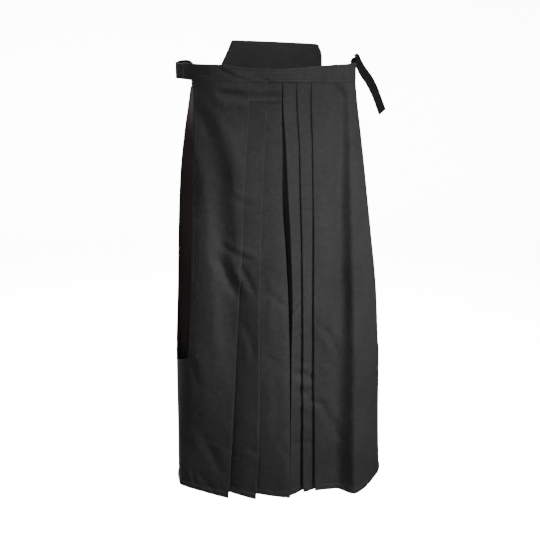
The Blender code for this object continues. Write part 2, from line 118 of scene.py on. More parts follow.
# Folds of a front panel, row by row. Distances run outwards from the middle.
# fold_1 is the edge of the outermost panel, fold_3 the edge beside the middle.
# tuck: cloth folded under each edge; open: how far the next strip stands back.
Folds = namedtuple(
    "Folds", "fold_1 fold_2 fold_3 tuck_1 tuck_2 tuck_3 open_1 open_2 open_3"
)
FRONT_RIGHT_FOLDS = [
    Folds(65, 31, 1.5, 30, 26, 22, 0, 0, 0),
    Folds(66, 31, 2, 32, 26, 22, 0, 0, 1),
    Folds(72, 36, 2, 38, 28, 24, 0, 0, 6),
    Folds(78, 40, 1, 44, 30, 28, 0, 0, 12),
    Folds(82, 44, -7, 48, 30, 34, 3, 2, 16),
    Folds(90, 47, -14, 52, 34, 38, 12, 5, 20),
    Folds(97, 48, -17, 56, 38, 40, 18, 8, 22),
    Folds(98, 48, -17.5, 57, 38, 40, 19, 8, 22),
    Folds(106, 50, -17.5, 60, 42, 44, 26, 15, 24),
    Folds(115, 57, -17.5, 62, 44, 48, 32, 27, 26),
]
FRONT_LEFT_FOLDS = [
    Folds(61, 30, 1, 30, 24, 22, 0, 0, 0),
    Folds(61, 31, 1.5, 32, 24, 22, 0, 0, 1),
    Folds(65, 37, 8, 34, 22, 22, 0, 0, 4),
    Folds(67, 40, 12.5, 36, 22, 21, 0, 1, 8),
    Folds(70, 44.5, 19, 38, 21, 20, 2, 2, 12),
    Folds(71, 47, 23, 40, 20, 19, 3, 4, 14),
    Folds(73, 48.5, 21, 42, 20, 21, 4, 5, 16),
    Folds(73, 48.5, 21, 42, 20, 21, 4, 5, 16),
    Folds(76, 50, 20, 44, 21, 24, 5, 7, 16),
    Folds(78, 51, 19, 46, 22, 27, 6, 9, 16),
]
# How far the right panel's inner edge rolls back, unpressed, below the crotch.
Roll = namedtuple("Roll", "back")
RIGHT_EDGE_ROLL = [Roll(back) for back in (0, 0, 0, 1, 3, 5, 6, 6, 5, 3)]
ROLL_REACH = 15 * MM
STRIP_BELLY = 1.2 * MM      # how far the strips between folds bulge
# Where the two front panels meet, row by row (millimetres).
Middle = namedtuple("Middle", "x")
FRONT_MIDDLE = [Middle(x) for x in (0, 0, 3, 6, 13, 18, 16.5, 16.5, 17, 19.5)]

# flat: share by which the right outer cloth straightens between fold 1 and its side
# lift_r, lift_l: how far the edges beside the middle stand out (millimetres)
Hang = namedtuple("Hang", "flat lift_r lift_l")
HANGS = [
    Hang(0, 0, 0),
    Hang(0, 0, 0),
    Hang(0, 0, 0),
    Hang(0, 0, 1),
    Hang(0, 0, 3),
    Hang(0, 0, 6),
    Hang(0, 0, 8),
    Hang(0, 0, 8),
    Hang(0.5, 2, 8),
    Hang(0.8, 4, 9),
]
SIDE_CORNER = 20 * MM       # depth of the soft corner in front of the right side seam

# The soft trough and ridge that run down each outer front panel (millimetres).
Swell = namedtuple("Swell", "trough_at trough_in ridge_at ridge_out")
FRONT_RIGHT_SWELL = [
    Swell(160, 0, 140, 0),
    Swell(158, 3, 130, 2),
    Swell(144, 7, 108, 3),
    Swell(126, 8, 98, 3),
    Swell(120, 8, 150, 3),
    Swell(112, 6, 150, 3),
    Swell(112, 3, 150, 2),
    Swell(112, 3, 150, 2),
    Swell(140, 4, 185, 0),
    Swell(165, 4, 195, 0),
]
FRONT_LEFT_SWELL = [
    Swell(112, 1, 146, 0),
    Swell(126, 6, 148, 4),
    Swell(133, 8, 152, 8),
    Swell(133, 8, 153, 11),
    Swell(137, 8, 157, 15),
    Swell(139, 7, 159, 20),
    Swell(140, 5, 160, 25),
    Swell(140, 5, 160, 26),
    Swell(142, 3, 162, 32),
    Swell(144, 0, 165, 40),
]
TROUGH_REACH = 16 * MM
RIDGE_REACH_IN = 20 * MM    # the ridge falls steeply towards the trough
RIDGE_REACH_OUT = 42 * MM   # and gently towards the side

# The fold beside each back panel's middle seam, row by row (millimetres).
BackFold = namedtuple("BackFold", "fold tuck open")
BACK_FOLDS = [
    BackFold(38, 30, 0),
    BackFold(39, 32, 0),
    BackFold(42, 36, 1),
    BackFold(46, 40, 2),
    BackFold(50, 46, 3),
    BackFold(54, 50, 4),
    BackFold(58, 54, 5),
    BackFold(59, 55, 5),
    BackFold(64, 60, 8),
    BackFold(70, 64, 12),
]

FRONT_BAND_RIGHT_END = -189 * MM
FRONT_BAND_LEFT_END = 170 * MM
# Upper edge of the front waistband (millimetres): it dips softly at the middle.
BandTop = namedtuple("BandTop", "x z")
FRONT_BAND_TOP = [
    BandTop(-189, 15),
    BandTop(-120, 17),
    BandTop(-60, 11),
    BandTop(10, 8.5),
    BandTop(60, 11),
    BandTop(110, 11),
    BandTop(150, 8),
    BandTop(170, 5.8),
]

# Outline of the back board: height above its base, its two sides (millimetres).
BoardRow = namedtuple("BoardRow", "up right left")
BOARD_ROWS = [
    BoardRow(0, -115, 124),
    BoardRow(41, -96, 124),
    BoardRow(74, -80, 123.5),
    BoardRow(82, -76.3, 121.5),
    BoardRow(97, -70.5, 115.5),
]
BOARD_SKEW = 0.4            # the board's top edge tilts this much more than the waist

# Routes of the webbing: its middle line between the waistbands (millimetres).
# Where y is FRONT or BACK, the webbing lies flat inside that waistband.
FRONT, BACK = "front", "back"
Stop = namedtuple("Stop", "x y z")
RIGHT_BELT_ROUTE = [
    Stop(-150, FRONT, -2.5),
    Stop(-168, FRONT, -2.5),
    Stop(-182, FRONT, -3.5),
    Stop(-194, -15, -5),
    Stop(-199.5, -1, -6),
    Stop(-197.5, 12, -6),
    Stop(-189, 27, -5.5),
    Stop(-179.5, 41, -6.5),
    Stop(-168, 56, -9),
    Stop(-159, 66, -15),
    Stop(-151, BACK, -27),
    Stop(-134, BACK, -38),
]
LEFT_BELT_ROUTE = [
    Stop(134, BACK, -50),
    Stop(147, BACK, -48),
    Stop(159, BACK, -43),
    Stop(168, 51, -36),
    Stop(174, 36, -30),
    Stop(177, 20, -25),
    Stop(176.5, 4, -21),
    Stop(173, -10, -18.5),
    Stop(162, FRONT, -17),
]
# The strap's free end rises inside the waistband, turns over and hangs outside.
StrapStop = namedtuple("StrapStop", "x y z wide_x wide_y wide_z")
STRAP_END_ROUTE = [
    StrapStop(161.5, -10, -30, 10, 30.2, 2),
    StrapStop(163, -10.5, -12, 11.5, 29.5, 3),
    StrapStop(168.6, -11, 3.4, 18, 25.5, 5),
    StrapStop(170.4, -11.5, 11.6, 18, 25.5, 6.5),
    StrapStop(172.6, -12, 14, 18, 25.5, 7),
    StrapStop(175.2, -12, 12.4, 18, 25.5, 7),
    StrapStop(181, -12, 0, 18.5, 25, 6.5),
    StrapStop(189.8, -12, -16, 21, 23.2, 7),
    StrapStop(204, -12, -36, 21.5, 22.8, 7),
    StrapStop(215.2, -12, -57, 21, 23.2, 7),
    StrapStop(224.5, -12, -79, 20.5, 23.6, 7),
    StrapStop(234, -12, -104, 21, 23.2, 7),
]

# Creases given one by one (millimetres). Each follows its own path of x, z places.
# A negative depth sinks, a positive one stands proud. The ends fade out.
Crease = namedtuple("Crease", "path width depth")
FRONT_CREASES = [
    # drag lines that fall from the right end of the waistband
    Crease(((-160, -18), (-138, -62), (-104, -104), (-92, -126)), 10, -1.2),
    Crease(((-176, -58), (-160, -88), (-141, -122), (-120, -166), (-100, -215)), 12, -3.0),
    Crease(((-146, -150), (-122, -206), (-98, -246)), 15, -2.2),
    Crease(((-118, -170), (-120, -226), (-126, -290), (-122, -356), (-114, -420)), 21, -3.6),
    Crease(((-168, -130), (-164, -220), (-162, -380), (-164, -470)), 20, 1.8),
    Crease(((-105, -236), (-78, -248), (-51, -257)), 5, 1.4),
    Crease(((-104, -252), (-76, -266), (-46, -272)), 5, -1.2),
    # the dented tuck under the waistband and its stitched line
    Crease(((-136, -38), (-112, -43), (-88, -45), (-58, -45)), 8, -6.5),
    Crease(((-124, -60), (-100, -63), (-66, -64)), 8, 1.2),
    Crease(((-66, -45), (-40, -46), (0, -46)), 5, -3.0),
    Crease(((-68, -54), (-40, -54.5), (2, -54.5)), 2.2, 1.5),
    # short slack creases on the right panel
    Crease(((-124, -343), (-84, -364), (-48, -378)), 5, 1.6),
    Crease(((-122, -358), (-90, -376), (-56, -392)), 6, -1.6),
    Crease(((-138, -372), (-122, -404), (-96, -452), (-88, -480)), 10, -5.2),
    Crease(((-110, -366), (-96, -404), (-80, -446)), 8, 2.2),
    Crease(((-193, -600), (-182, -640), (-172, -684)), 7, -2.6),
    Crease(((-214, -770), (-204, -800), (-192, -832)), 8, -2.4),
    Crease(((-176, -778), (-160, -800), (-143, -840), (-122, -884)), 10, -3.0),
    Crease(((-170, -806), (-140, -812), (-104, -824)), 5, 1.2),
    Crease(((-186, -899), (-166, -904), (-142, -900)), 5, 1.2),
    Crease(((-200, -884), (-192, -900), (-188, -918)), 4, 2.0),
    Crease(((-182, -892), (-172, -908), (-166, -922)), 4, 2.2),
    Crease(((-164, -896), (-150, -912), (-142, -924)), 4, -2.0),
    Crease(((-150, -560), (-142, -640), (-148, -720)), 16, -2.2),
    # on the right strips
    Crease(((-84, -402), (-70, -430), (-56, -462)), 6, -2.2),
    Crease(((-84, -520), (-66, -560), (-56, -612)), 7, -1.6),
    Crease(((-78, -802), (-64, -814), (-48, -830)), 6, -2.0),
    Crease(((-30, -420), (-18, -452), (-22, -500), (-30, -560)), 9, 1.8),
    Crease(((-34, -640), (-24, -720), (-30, -800)), 9, 1.6),
    Crease(((-6, -436), (-16, -448), (-29, -464)), 5, -1.8),
    Crease(((-27, -456), (-8, -476), (10, -494)), 5, -1.8),
    Crease(((-44, -598), (-22, -606), (0, -620)), 6, -1.2),
    Crease(((-27, -20), (-13, -31)), 3, 1.0),
    Crease(((-4, -796), (6, -816), (16, -838)), 6, -2.2),
    # on the left strips
    Crease(((20, -516), (30, -506), (42, -488), (54, -474)), 4, -4.0),
    Crease(((20, -500), (34, -492), (46, -470)), 4, 1.8),
    Crease(((20, -560), (44, -552), (66, -560)), 5, 1.6),
    Crease(((20, -604), (38, -612), (52, -624)), 5, -2.2),
    Crease(((20, -640), (50, -650), (82, -668)), 8, -3.4),
    Crease(((48, -690), (64, -704), (82, -724)), 5, -2.6),
    Crease(((20, -812), (50, -806), (80, -818)), 6, -2.0),
    Crease(((20, -676), (50, -692), (82, -686)), 9, -3.2),
    Crease(((22, -716), (48, -722), (78, -742)), 8, 2.2),
    Crease(((20, -782), (50, -774), (80, -788)), 9, 1.8),
    Crease(((36, -283), (70, -290), (106, -306)), 4, -1.0),
    # on the left panel: its long sharp trough, then the short ones beside it
    Crease(
        ((112, -21), (125, -42), (132, -62), (132, -163), (131, -247), (135, -377),
         (140, -487), (142, -600), (142, -717), (143, -820), (143, -940)), 14, -7.0),
    Crease(
        ((140, -28), (149, -62), (151, -163), (151, -247), (155, -377), (157, -487),
         (161, -600), (162, -717), (163, -820), (163, -940)), 8, 2.6),
    Crease(((92, -542), (110, -572), (126, -616)), 8, -3.4),
    Crease(((79, -554), (100, -580), (114, -612)), 7, 1.8),
    Crease(((78, -703), (98, -736), (116, -776), (126, -812)), 8, -4.2),
    Crease(((80, -630), (96, -638), (112, -652)), 6, 1.4),
    Crease(((118, -380), (122, -600), (124, -760), (124, -900)), 17, -2.4),
    Crease(((190, -800), (200, -774), (212, -742)), 7, -2.0),
    Crease(((150, -421), (170, -427), (190, -431)), 4, -1.0),
    Crease(((112, -566), (96, -630), (104, -690)), 12, 1.6),
    Crease(((117, -761), (134, -790), (143, -830)), 7, -1.6),
    Crease(((138, -22), (146, -32), (152, -46)), 3, -1.2),
    Crease(((196, -130), (204, -220), (214, -330)), 12, -2.2),
    Crease(((214, -440), (224, -560), (226, -680)), 14, -2.4),
    Crease(((186, -700), (196, -800), (192, -900)), 12, -2.0),
    Crease(((90, -120), (84, -300), (96, -460)), 18, 1.6),
]
BACK_CREASES = [
    Crease(((-150, -66), (-126, -120), (-96, -190)), 10, -3.6),
    Crease(((-124, -170), (-134, -260), (-132, -430)), 13, -4.6),
    Crease(((-92, -400), (-98, -560), (-104, -770)), 15, -4.0),
    Crease(((-166, -440), (-156, -620), (-150, -820)), 15, 3.6),
    Crease(((150, -80), (128, -130), (96, -204)), 10, -3.4),
    Crease(((116, -200), (120, -340), (132, -530)), 14, -4.6),
    Crease(((160, -360), (164, -540), (170, -780)), 15, 3.8),
    Crease(((126, -540), (128, -700), (136, -880)), 13, -4.2),
    Crease(((-66, -296), (-40, -312), (-8, -334)), 6, -1.8),
    Crease(((16, -384), (50, -364), (92, -350)), 6, -1.6),
    Crease(((-94, -616), (-60, -634), (-22, -640)), 6, -1.6),
    Crease(((28, -702), (70, -706), (112, -724)), 7, -1.8),
    Crease(((-40, -480), (-34, -640), (-40, -790)), 10, 1.6),
    Crease(((36, -180), (30, -360), (34, -520)), 10, 1.6),
]

# Stations: spans of cloth along each stretch of a plan line.
OUTER_SPANS = 76
ARC_SPANS = 6
TUCK_SPANS = 5
STRIP_SPANS = 14
MIDDLE_SPANS = 4
ROW_STEP = 5 * MM
OUTER_LAST = OUTER_SPANS + 1    # column at the outer edge of the first fold
SEWN_IN = 2 * MM            # cloth that runs up inside the waistband
LAP = 3.5 * MM              # how far the left cloth laps behind the right
FOLD_COLUMNS = 2 * (ARC_SPANS - 1) + 2 * (TUCK_SPANS + 1)


# ------------------------------------------------------------- settings

class HakamaCloth(bpy.types.PropertyGroup):
    """Sizes of the cloth itself."""

    thickness: FloatProperty(
        name="Thickness", description="Thickness of the twill", default=0.0008, unit="LENGTH"
    )
    layer: FloatProperty(
        name="Layer", description="Step from one folded layer to the next",
        default=0.0018, unit="LENGTH",
    )
    seam_gap: FloatProperty(
        name="Seam gap", description="Space between pieces that are sewn together",
        default=0.0003, unit="LENGTH",
    )
    twill_pitch: FloatProperty(
        name="Twill pitch", description="Width of one diagonal rib of the twill",
        default=0.0011, unit="LENGTH",
    )
    slack: FloatProperty(
        name="Slack", description="How uneven the hanging cloth is", default=0.0009, unit="LENGTH"
    )


class HakamaStitches(bpy.types.PropertyGroup):
    """Sizes of the sewing thread."""

    length: FloatProperty(
        name="Stitch", description="Length of one stitch", default=0.0026, unit="LENGTH"
    )
    pitch: FloatProperty(
        name="Pitch", description="Distance from stitch to stitch", default=0.0034, unit="LENGTH"
    )
    thread: FloatProperty(
        name="Thread", description="Radius of the thread", default=0.00026, unit="LENGTH"
    )


class HakamaColours(bpy.types.PropertyGroup):
    """Colours of the finishes."""

    twill: FloatVectorProperty(
        name="Twill", description="Colour of the twill", subtype="COLOR",
        default=(0.0278, 0.0275, 0.0276),
    )
    # inside: the wrong side is painted about twice as light and redder than the twill. This is
    # partly its own tone and partly painted light, standing in for light the lamps don't bring
    # into the garment.
    inside: FloatVectorProperty(
        name="Inside", description="Colour of the twill's wrong side", subtype="COLOR",
        default=(0.062, 0.049, 0.047),
    )
    board: FloatVectorProperty(
        name="Board", description="Colour of the cloth over the board", subtype="COLOR",
        default=(0.028, 0.027, 0.028),
    )
    webbing: FloatVectorProperty(
        name="Webbing", description="Colour of the webbing", subtype="COLOR",
        default=(0.0045, 0.0045, 0.005),
    )
    thread: FloatVectorProperty(
        name="Thread", description="Colour of the sewing thread", subtype="COLOR",
        default=(0.058, 0.057, 0.058),
    )
    floor: FloatVectorProperty(
        name="Floor", description="Colour of the floor", subtype="COLOR",
        default=(0.9, 0.9, 0.9),
    )


# ------------------------------------------------------------- plan curves

def row_at(table, z):
    """A table's row at a height, on smooth curves through its columns."""
    heights = [shell.z * MM for shell in SHELL]
    z = min(max(z, heights[-1]), heights[0])
    i = 0
    while i < len(heights) - 2 and z < heights[i + 1]:
        i += 1
    span = heights[i + 1] - heights[i]
    t = (z - heights[i]) / span
    h01 = t * t * (3 - 2 * t)
    h10 = t * (1 - t) ** 2
    h11 = -t * t * (1 - t)
    values = []
    for column in zip(*table):
        slopes = [
            (column[k + 1] - column[k]) / (heights[k + 1] - heights[k])
            for k in range(len(column) - 1)
        ]
        ends = []
        for k in (i, i + 1):
            before = slopes[max(k - 1, 0)]
            after = slopes[min(k, len(slopes) - 1)]
            steady = before * after > 0
            ends.append(2 * before * after / (before + after) if steady else 0.0)
        value = column[i] * (1 - h01) + column[i + 1] * h01
        values.append(value + span * (ends[0] * h10 + ends[1] * h11))
    return type(table[0])(*values)


def waist_lift(x):
    """How much higher the waist sits at x than at the middle."""
    return -WAIST_TILT * x


def seam_sag(x):
    """How far the front waist seam falls below its middle, towards the ends."""
    reach = np.minimum(np.abs(x) / abs(FRONT_BAND_LEFT_END), 1.0)
    return BAND_RISE * reach ** 2


def round_across(angle, half, power):
    """Distance from the middle on a superellipse quarter: angle 0 is the side."""
    return half * np.cos(angle) ** (2 / power)


def round_depth(across, half, depth, power):
    """Depth of a superellipse at a distance from the middle."""
    reach = np.minimum(np.abs(across) / half, 1.0)
    return depth * (1 - reach ** power) ** (1 / power)


def smooth_between(table, at):
    """Value of a two-column table at a place, eased between its rows."""
    for low, high in zip(table, table[1:]):
        if at <= high[0]:
            break
    t = min(max((at - low[0]) / (high[0] - low[0]), 0.0), 1.0)
    ease = t * t * (3 - 2 * t)
    return low[1] + (high[1] - low[1]) * ease


def hump(distance, reach):
    """Smooth bump of height one that fades out over its reach."""
    t = np.minimum(np.abs(distance) / (2 * reach), 1.0)
    return (1 - t * t) ** 2


def ramp(value):
    """Smooth step from nought to one."""
    t = np.clip(value, 0.0, 1.0)
    return t * t * (3 - 2 * t)


def spaced(start, stop, spans):
    """Even values from start to stop, both included."""
    return np.linspace(start, stop, spans + 1)


def walked(*columns):
    """Length walked along a line up to each of its points."""
    steps = np.sqrt(sum(np.diff(column) ** 2 for column in columns))
    return np.concatenate([[0], np.cumsum(steps)])


def end_round(edge, radius, least):
    """How full a rounded end is at a distance from its edge."""
    return np.sqrt(max(1 - (1 - min(edge / radius, 1)) ** 2, least))


def turn_line(centre, depth, radius, outwards):
    """Half-round turn of the cloth over or under a fold, front to back."""
    angle = spaced(pi / 2, -pi / 2, ARC_SPANS)[1:-1]
    side = 1 if outwards else -1
    return centre + side * radius * np.cos(angle), depth + radius * np.sin(angle)


def fold_under(runs, cover, edge, tuck, opening, layer):
    """Append one knife pleat to the runs: turn, return, inner turn and under side."""
    radius = layer / 2
    start, stop = edge + radius, edge + tuck - radius
    runs.append((*turn_line(start, cover(start) - radius, radius, False), 1.0))
    across = spaced(start, stop, TUCK_SPANS)
    runs.append((across, cover(across) - layer, 0.0))
    runs.append((*turn_line(stop, cover(stop) - 1.5 * layer, radius, True), 1.0))
    across = spaced(stop, edge, TUCK_SPANS)
    lean = opening * (stop - across) / (stop - edge)
    runs.append((across, cover(across) - 2 * layer - lean, 0.0))


def joined(runs, slit, side):
    """One plan line from its runs, with a mark at the folds."""
    across = np.concatenate([np.atleast_1d(run[0]) for run in runs])
    depth = np.concatenate([np.atleast_1d(run[1]) for run in runs])
    fold = np.concatenate([np.full(np.size(run[0]), run[2]) for run in runs])
    across, depth = with_allowances(across, depth, slit, side)
    return across, depth, np.concatenate([[0.0], fold, [0.0]])


def with_allowances(across, depth, slit, side):
    """Turn the cloth in along both edges: under the next piece, or under itself."""
    tangent = np.array((across[1] - across[0], depth[1] - depth[0]))
    tangent /= np.hypot(*tangent)
    inward = np.array((-abs(tangent[1]), -abs(tangent[0])))
    opened = float(ramp(slit / (5 * MM)))
    start = np.array((across[0], depth[0]))
    seam = start + (-1.0 * MM, -4 * MM)
    turned = start + inward * 0.9 * MM + tangent * 6 * MM
    first = seam * (1 - opened) + turned * opened
    # at the middle the left cloth laps behind the edge of the right
    across[-1] += 0.4 * MM
    last = (across[-1] - LAP, depth[-1] - 1.5 * MM)
    if side < 0:
        last = (across[-1], depth[-1] - 0.5 * MM)
    across = np.concatenate([[first[0]], across, [last[0]]])
    return across, np.concatenate([[first[1]], depth, [last[1]]])


def front_line(z, side, layer):
    """Plan line of a front panel from its side edge to the middle seam."""
    right = side < 0
    shell = row_at(SHELL, z)
    folds = row_at(FRONT_RIGHT_FOLDS if right else FRONT_LEFT_FOLDS, z)
    swell = row_at(FRONT_RIGHT_SWELL if right else FRONT_LEFT_SWELL, z)
    half = (shell.half_r if right else shell.half_l) * MM
    front = (shell.front_r if right else shell.front_l) * MM
    slit = (shell.slit_r if right else shell.slit_l) * MM

    hang = row_at(HANGS, z)
    flat = hang.flat if right else 0.0
    lift = (hang.lift_r if right else hang.lift_l) * MM

    def rounded(across):
        plain = round_depth(across, half, front, FRONT_ROUND)
        sunk = hump(across - swell.trough_at * MM, TROUGH_REACH) * swell.trough_in * MM
        past = across - swell.ridge_at * MM
        reach = np.where(past > 0, RIDGE_REACH_OUT, RIDGE_REACH_IN)
        return plain - sunk + hump(past, reach) * swell.ridge_out * MM

    def depth(across):
        plain = rounded(across)
        reach = (across - edges[0]) / (half - edges[0])
        chord = ridge + (SIDE_CORNER - ridge) * reach
        return plain + (chord - plain) * flat * (reach > 0)

    edges = [folds.fold_1 * MM, folds.fold_2 * MM, folds.fold_3 * MM]
    tucks = [folds.tuck_1 * MM, folds.tuck_2 * MM, folds.tuck_3 * MM]
    opens = [folds.open_1 * MM, folds.open_2 * MM, folds.open_3 * MM]
    ridge = float(rounded(np.array(edges[0])))
    start = asin((slit / front) ** (FRONT_ROUND / 2))
    stop = acos(((edges[0] + layer / 2) / half) ** (FRONT_ROUND / 2))
    across = round_across(spaced(start, stop, OUTER_SPANS), half, FRONT_ROUND)
    line = depth(across)
    line[0] = max(line[0] * (1 - flat), LEAST_DEPTH) if slit > 0.5 * MM else LEAST_DEPTH
    runs = [(across, line, 0.0)]
    roll = row_at(RIGHT_EDGE_ROLL, z).back * MM if right else 0.0
    open_up = float(ramp((PLEAT_STITCH_Z - z) / 0.15))
    cover = depth
    for k in range(3):
        fold_under(runs, cover, edges[k], tucks[k], opens[k], layer)
        deep = float(cover(np.array(edges[k]))) - 2 * layer - opens[k]
        if k < 2:
            nearer = edges[k + 1]
            proud = float(depth(np.array(nearer))) + lift * k
            rolled = roll if k == 1 else 0.0

            def cover(across, a=edges[k], b=nearer, deep=deep, proud=proud, rolled=rolled):
                t = np.clip((across - b) / (a - b), 0, 1)
                flat = proud + (deep - proud) * (across - b) / (a - b)
                flat = flat - rolled * np.clip(1 - (across - b) / ROLL_REACH, 0, 1.2) ** 2
                return flat + STRIP_BELLY * np.sin(pi * t) ** 2 * open_up

            across = spaced(edges[k], nearer + layer / 2, STRIP_SPANS)[1:]
            runs.append((across, cover(across), 0.0))
    middle = row_at(FRONT_MIDDLE, z).x * MM * side + HALF_SEAM
    across = spaced(edges[2], middle, MIDDLE_SPANS)[1:]
    runs.append((across, np.full(MIDDLE_SPANS, deep), 0.0))
    return joined(runs, slit, side)


def back_line(z, side, layer):
    """Plan line of a back panel from its side edge to the middle seam."""
    shell = row_at(SHELL, z)
    fold = row_at(BACK_FOLDS, z)
    half = (shell.half_r if side < 0 else shell.half_l) * MM
    deep = shell.back * MM
    slit = shell.slit_b * MM
    edge = fold.fold * MM

    def depth(across):
        return round_depth(across, half, deep, BACK_ROUND)

    start = asin((slit / deep) ** (BACK_ROUND / 2))
    stop = acos(((edge + layer / 2) / half) ** (BACK_ROUND / 2))
    across = round_across(spaced(start, stop, OUTER_SPANS), half, BACK_ROUND)
    line = depth(across)
    line[0] = max(line[0], LEAST_DEPTH)
    runs = [(across, line, 0.0)]
    fold_under(runs, depth, edge, fold.tuck * MM, fold.open * MM, layer)
    start = float(depth(np.array(edge))) - 2 * layer - fold.open * MM
    across = spaced(edge, MIDDLE_FLAT, STRIP_SPANS)[1:]
    rise = ramp((edge - across) / (edge - MIDDLE_FLAT))
    runs.append((across, start + (deep - 2 * layer - start) * rise, 0.0))
    across = spaced(MIDDLE_FLAT, HALF_SEAM, MIDDLE_SPANS)[1:]
    runs.append((across, np.full(MIDDLE_SPANS, deep - 2 * layer), 0.0))
    return joined(runs, slit, side)


# ------------------------------------------------------------- creases

def crease_height(creases, x, z):
    """How far the creases push the cloth out at each place."""
    total = np.zeros_like(x)
    for crease in creases:
        path = np.array(crease.path) * MM
        steps = np.hypot(*np.diff(path, axis=0).T)
        starts = np.concatenate([[0], np.cumsum(steps)])
        off = np.full_like(x, np.inf)
        along = np.zeros_like(x)
        for start, end, step, begun in zip(path, path[1:], steps, starts):
            run = (end - start) / step
            reach = (x - start[0]) * run[0] + (z - start[1]) * run[1]
            inside = np.clip(reach, 0, step)
            gap = np.hypot(x - start[0] - inside * run[0], z - start[1] - inside * run[1])
            nearer = gap < off
            off = np.where(nearer, gap, off)
            along = np.where(nearer, begun + inside, along)
        width = crease.width * MM
        end_gap = np.minimum(along, starts[-1] - along)
        fade = 0.15 + 0.85 * ramp(end_gap / min(2.5 * width, 0.5 * starts[-1]))
        lips = 0.22 * np.exp(-((off - 2 * width) / width) ** 2)
        total += crease.depth * MM * fade * (np.exp(-(off / width) ** 2) - lips)
    return total


def slack_height(x, z, seed, slack):
    """Gentle unevenness of hanging cloth: longer down than across."""
    flat = zip(x.ravel(), z.ravel())
    waves = [
        noise.noise(Vector((a / 0.045, b / 0.13, seed)))
        + 0.5 * noise.noise(Vector((a / 0.021, b / 0.05, seed + 7)))
        for a, b in flat
    ]
    return np.array(waves).reshape(x.shape) * slack


def pressed_line(distance, width, depth):
    """Groove where stitches pull the cloth in."""
    return -depth * np.exp(-(distance / width) ** 2)


def puckers(along, away, seed, height):
    """Small gathers beside a stitched line."""
    wave = (
        np.sin(along / 0.0041 + seed)
        + 0.8 * np.sin(along / 0.0066 + 2.1 * seed)
        + 0.6 * np.sin(along / 0.0027 + 0.7 * seed)
    )
    return height * wave * np.exp(-(away / 0.007) ** 2)


def outwards(places):
    """Level directions that point straight out of the garment at each place."""
    way = places * (1 / 0.21 ** 2, 1 / 0.115 ** 2, 0)
    return way / np.maximum(np.linalg.norm(way, axis=2, keepdims=True), 1e-9)


def push_out(places, height):
    """Move a grid of places along its own normals."""
    down = np.gradient(places, axis=0)
    across = np.gradient(places, axis=1)
    normal = np.cross(across, down)
    normal /= np.maximum(np.linalg.norm(normal, axis=2, keepdims=True), 1e-12)
    return places + normal * height[:, :, None]


def row_heights(top, bottom, marks):
    """Heights of the rows, closer together beside each stitched line."""
    count = int(round((top - bottom) / ROW_STEP))
    heights = set(np.round(spaced(top, bottom, count), 6))
    for mark in marks:
        near = {round(mark + step * 1.4 * MM, 6) for step in range(-3, 4)}
        heights = {h for h in heights if abs(h - mark) > 5.5 * MM or h in (top, bottom)}
        heights |= {h for h in near if bottom < h < top}
    return sorted(heights, reverse=True)


def cut_length(places):
    """Distance along each row of a grid, from its first place."""
    steps = np.linalg.norm(np.diff(places, axis=1), axis=2)
    return np.concatenate([np.zeros((len(places), 1)), np.cumsum(steps, axis=1)], axis=1)


# ------------------------------------------------------------- meshes

def cloth_grid(name, places, cut, fold=None):
    """Grid whose corners are moved to their places, with the flat cut as its UV map."""
    down, across = places.shape[0] - 1, places.shape[1] - 1
    bpy.ops.object.select_all(action="DESELECT")
    bpy.ops.mesh.primitive_grid_add(x_subdivisions=across, y_subdivisions=down, size=1)
    piece = bpy.context.object
    piece.name = name
    piece.data.name = name
    mesh = piece.data
    flat = np.empty(len(mesh.vertices) * 3)
    mesh.vertices.foreach_get("co", flat)
    flat = flat.reshape(-1, 3)
    column = np.rint((flat[:, 0] + 0.5) * across).astype(int)
    row = np.rint((0.5 - flat[:, 1]) * down).astype(int)
    mesh.vertices.foreach_set("co", places[row, column].ravel())
    corners = np.empty(len(mesh.loops), dtype=int)
    mesh.loops.foreach_get("vertex_index", corners)
    mesh.uv_layers.active.data.foreach_set("uv", cut[row, column][corners].ravel())
    mark = np.zeros(places.shape[:2]) if fold is None else fold
    layer = mesh.attributes.new("fold", "FLOAT", "POINT")
    layer.data.foreach_set("value", mark[row, column])
    mesh.update()
    return piece


def thicken(piece, thickness):
    """Give a sheet its wall, closed round the edges."""
    wall = piece.modifiers.new("Wall", "SOLIDIFY")
    wall.thickness = thickness
    wall.offset = 0
    wall.use_even_offset = False
    bpy.context.view_layer.objects.active = piece
    bpy.ops.object.modifier_apply(modifier=wall.name)
    outward(piece)


def outward(piece):
    """Merge doubled corners, close the ends and turn every face out."""
    mesh = bmesh.new()
    mesh.from_mesh(piece.data)
    bmesh.ops.remove_doubles(mesh, verts=mesh.verts, dist=1e-6)
    open_edges = [edge for edge in mesh.edges if edge.is_boundary]
    bmesh.ops.holes_fill(mesh, edges=open_edges)
    bmesh.ops.recalc_face_normals(mesh, faces=mesh.faces)
    mesh.to_mesh(piece.data)
    mesh.free()


def mark_inside_painted_light(piece):
    """Mark the side of the cloth that faces into the garment, where the inside colour is painted
    lighter to stand in for light.
    """
    mesh = piece.data
    places = np.empty(len(mesh.vertices) * 3)
    normals = np.empty(len(mesh.vertices) * 3)
    mesh.vertices.foreach_get("co", places)
    mesh.vertex_normals.foreach_get("vector", normals)
    way = outwards(places.reshape(1, -1, 3))[0]
    facing = (way * normals.reshape(-1, 3)).sum(axis=1)
    layer = mesh.attributes.new("inside", "FLOAT", "POINT")
    layer.data.foreach_set("value", np.clip(-3 * facing, 0, 1))


def smooth(piece, angle=50):
    """Shade a piece smooth, with its sharp edges kept."""
    bpy.ops.object.select_all(action="DESELECT")
    piece.select_set(True)
    bpy.context.view_layer.objects.active = piece
    bpy.ops.object.shade_smooth_by_angle(angle=radians(angle))


def dressed(piece, material, slot, *nodes):
    """Finish a piece: its material, body and the node it stands for. The slot is not used."""
    piece.data.materials.clear()
    piece.data.materials.append(material)
    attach(piece, "root")
    if nodes:
        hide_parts(*nodes)


# ------------------------------------------------------------- finishes

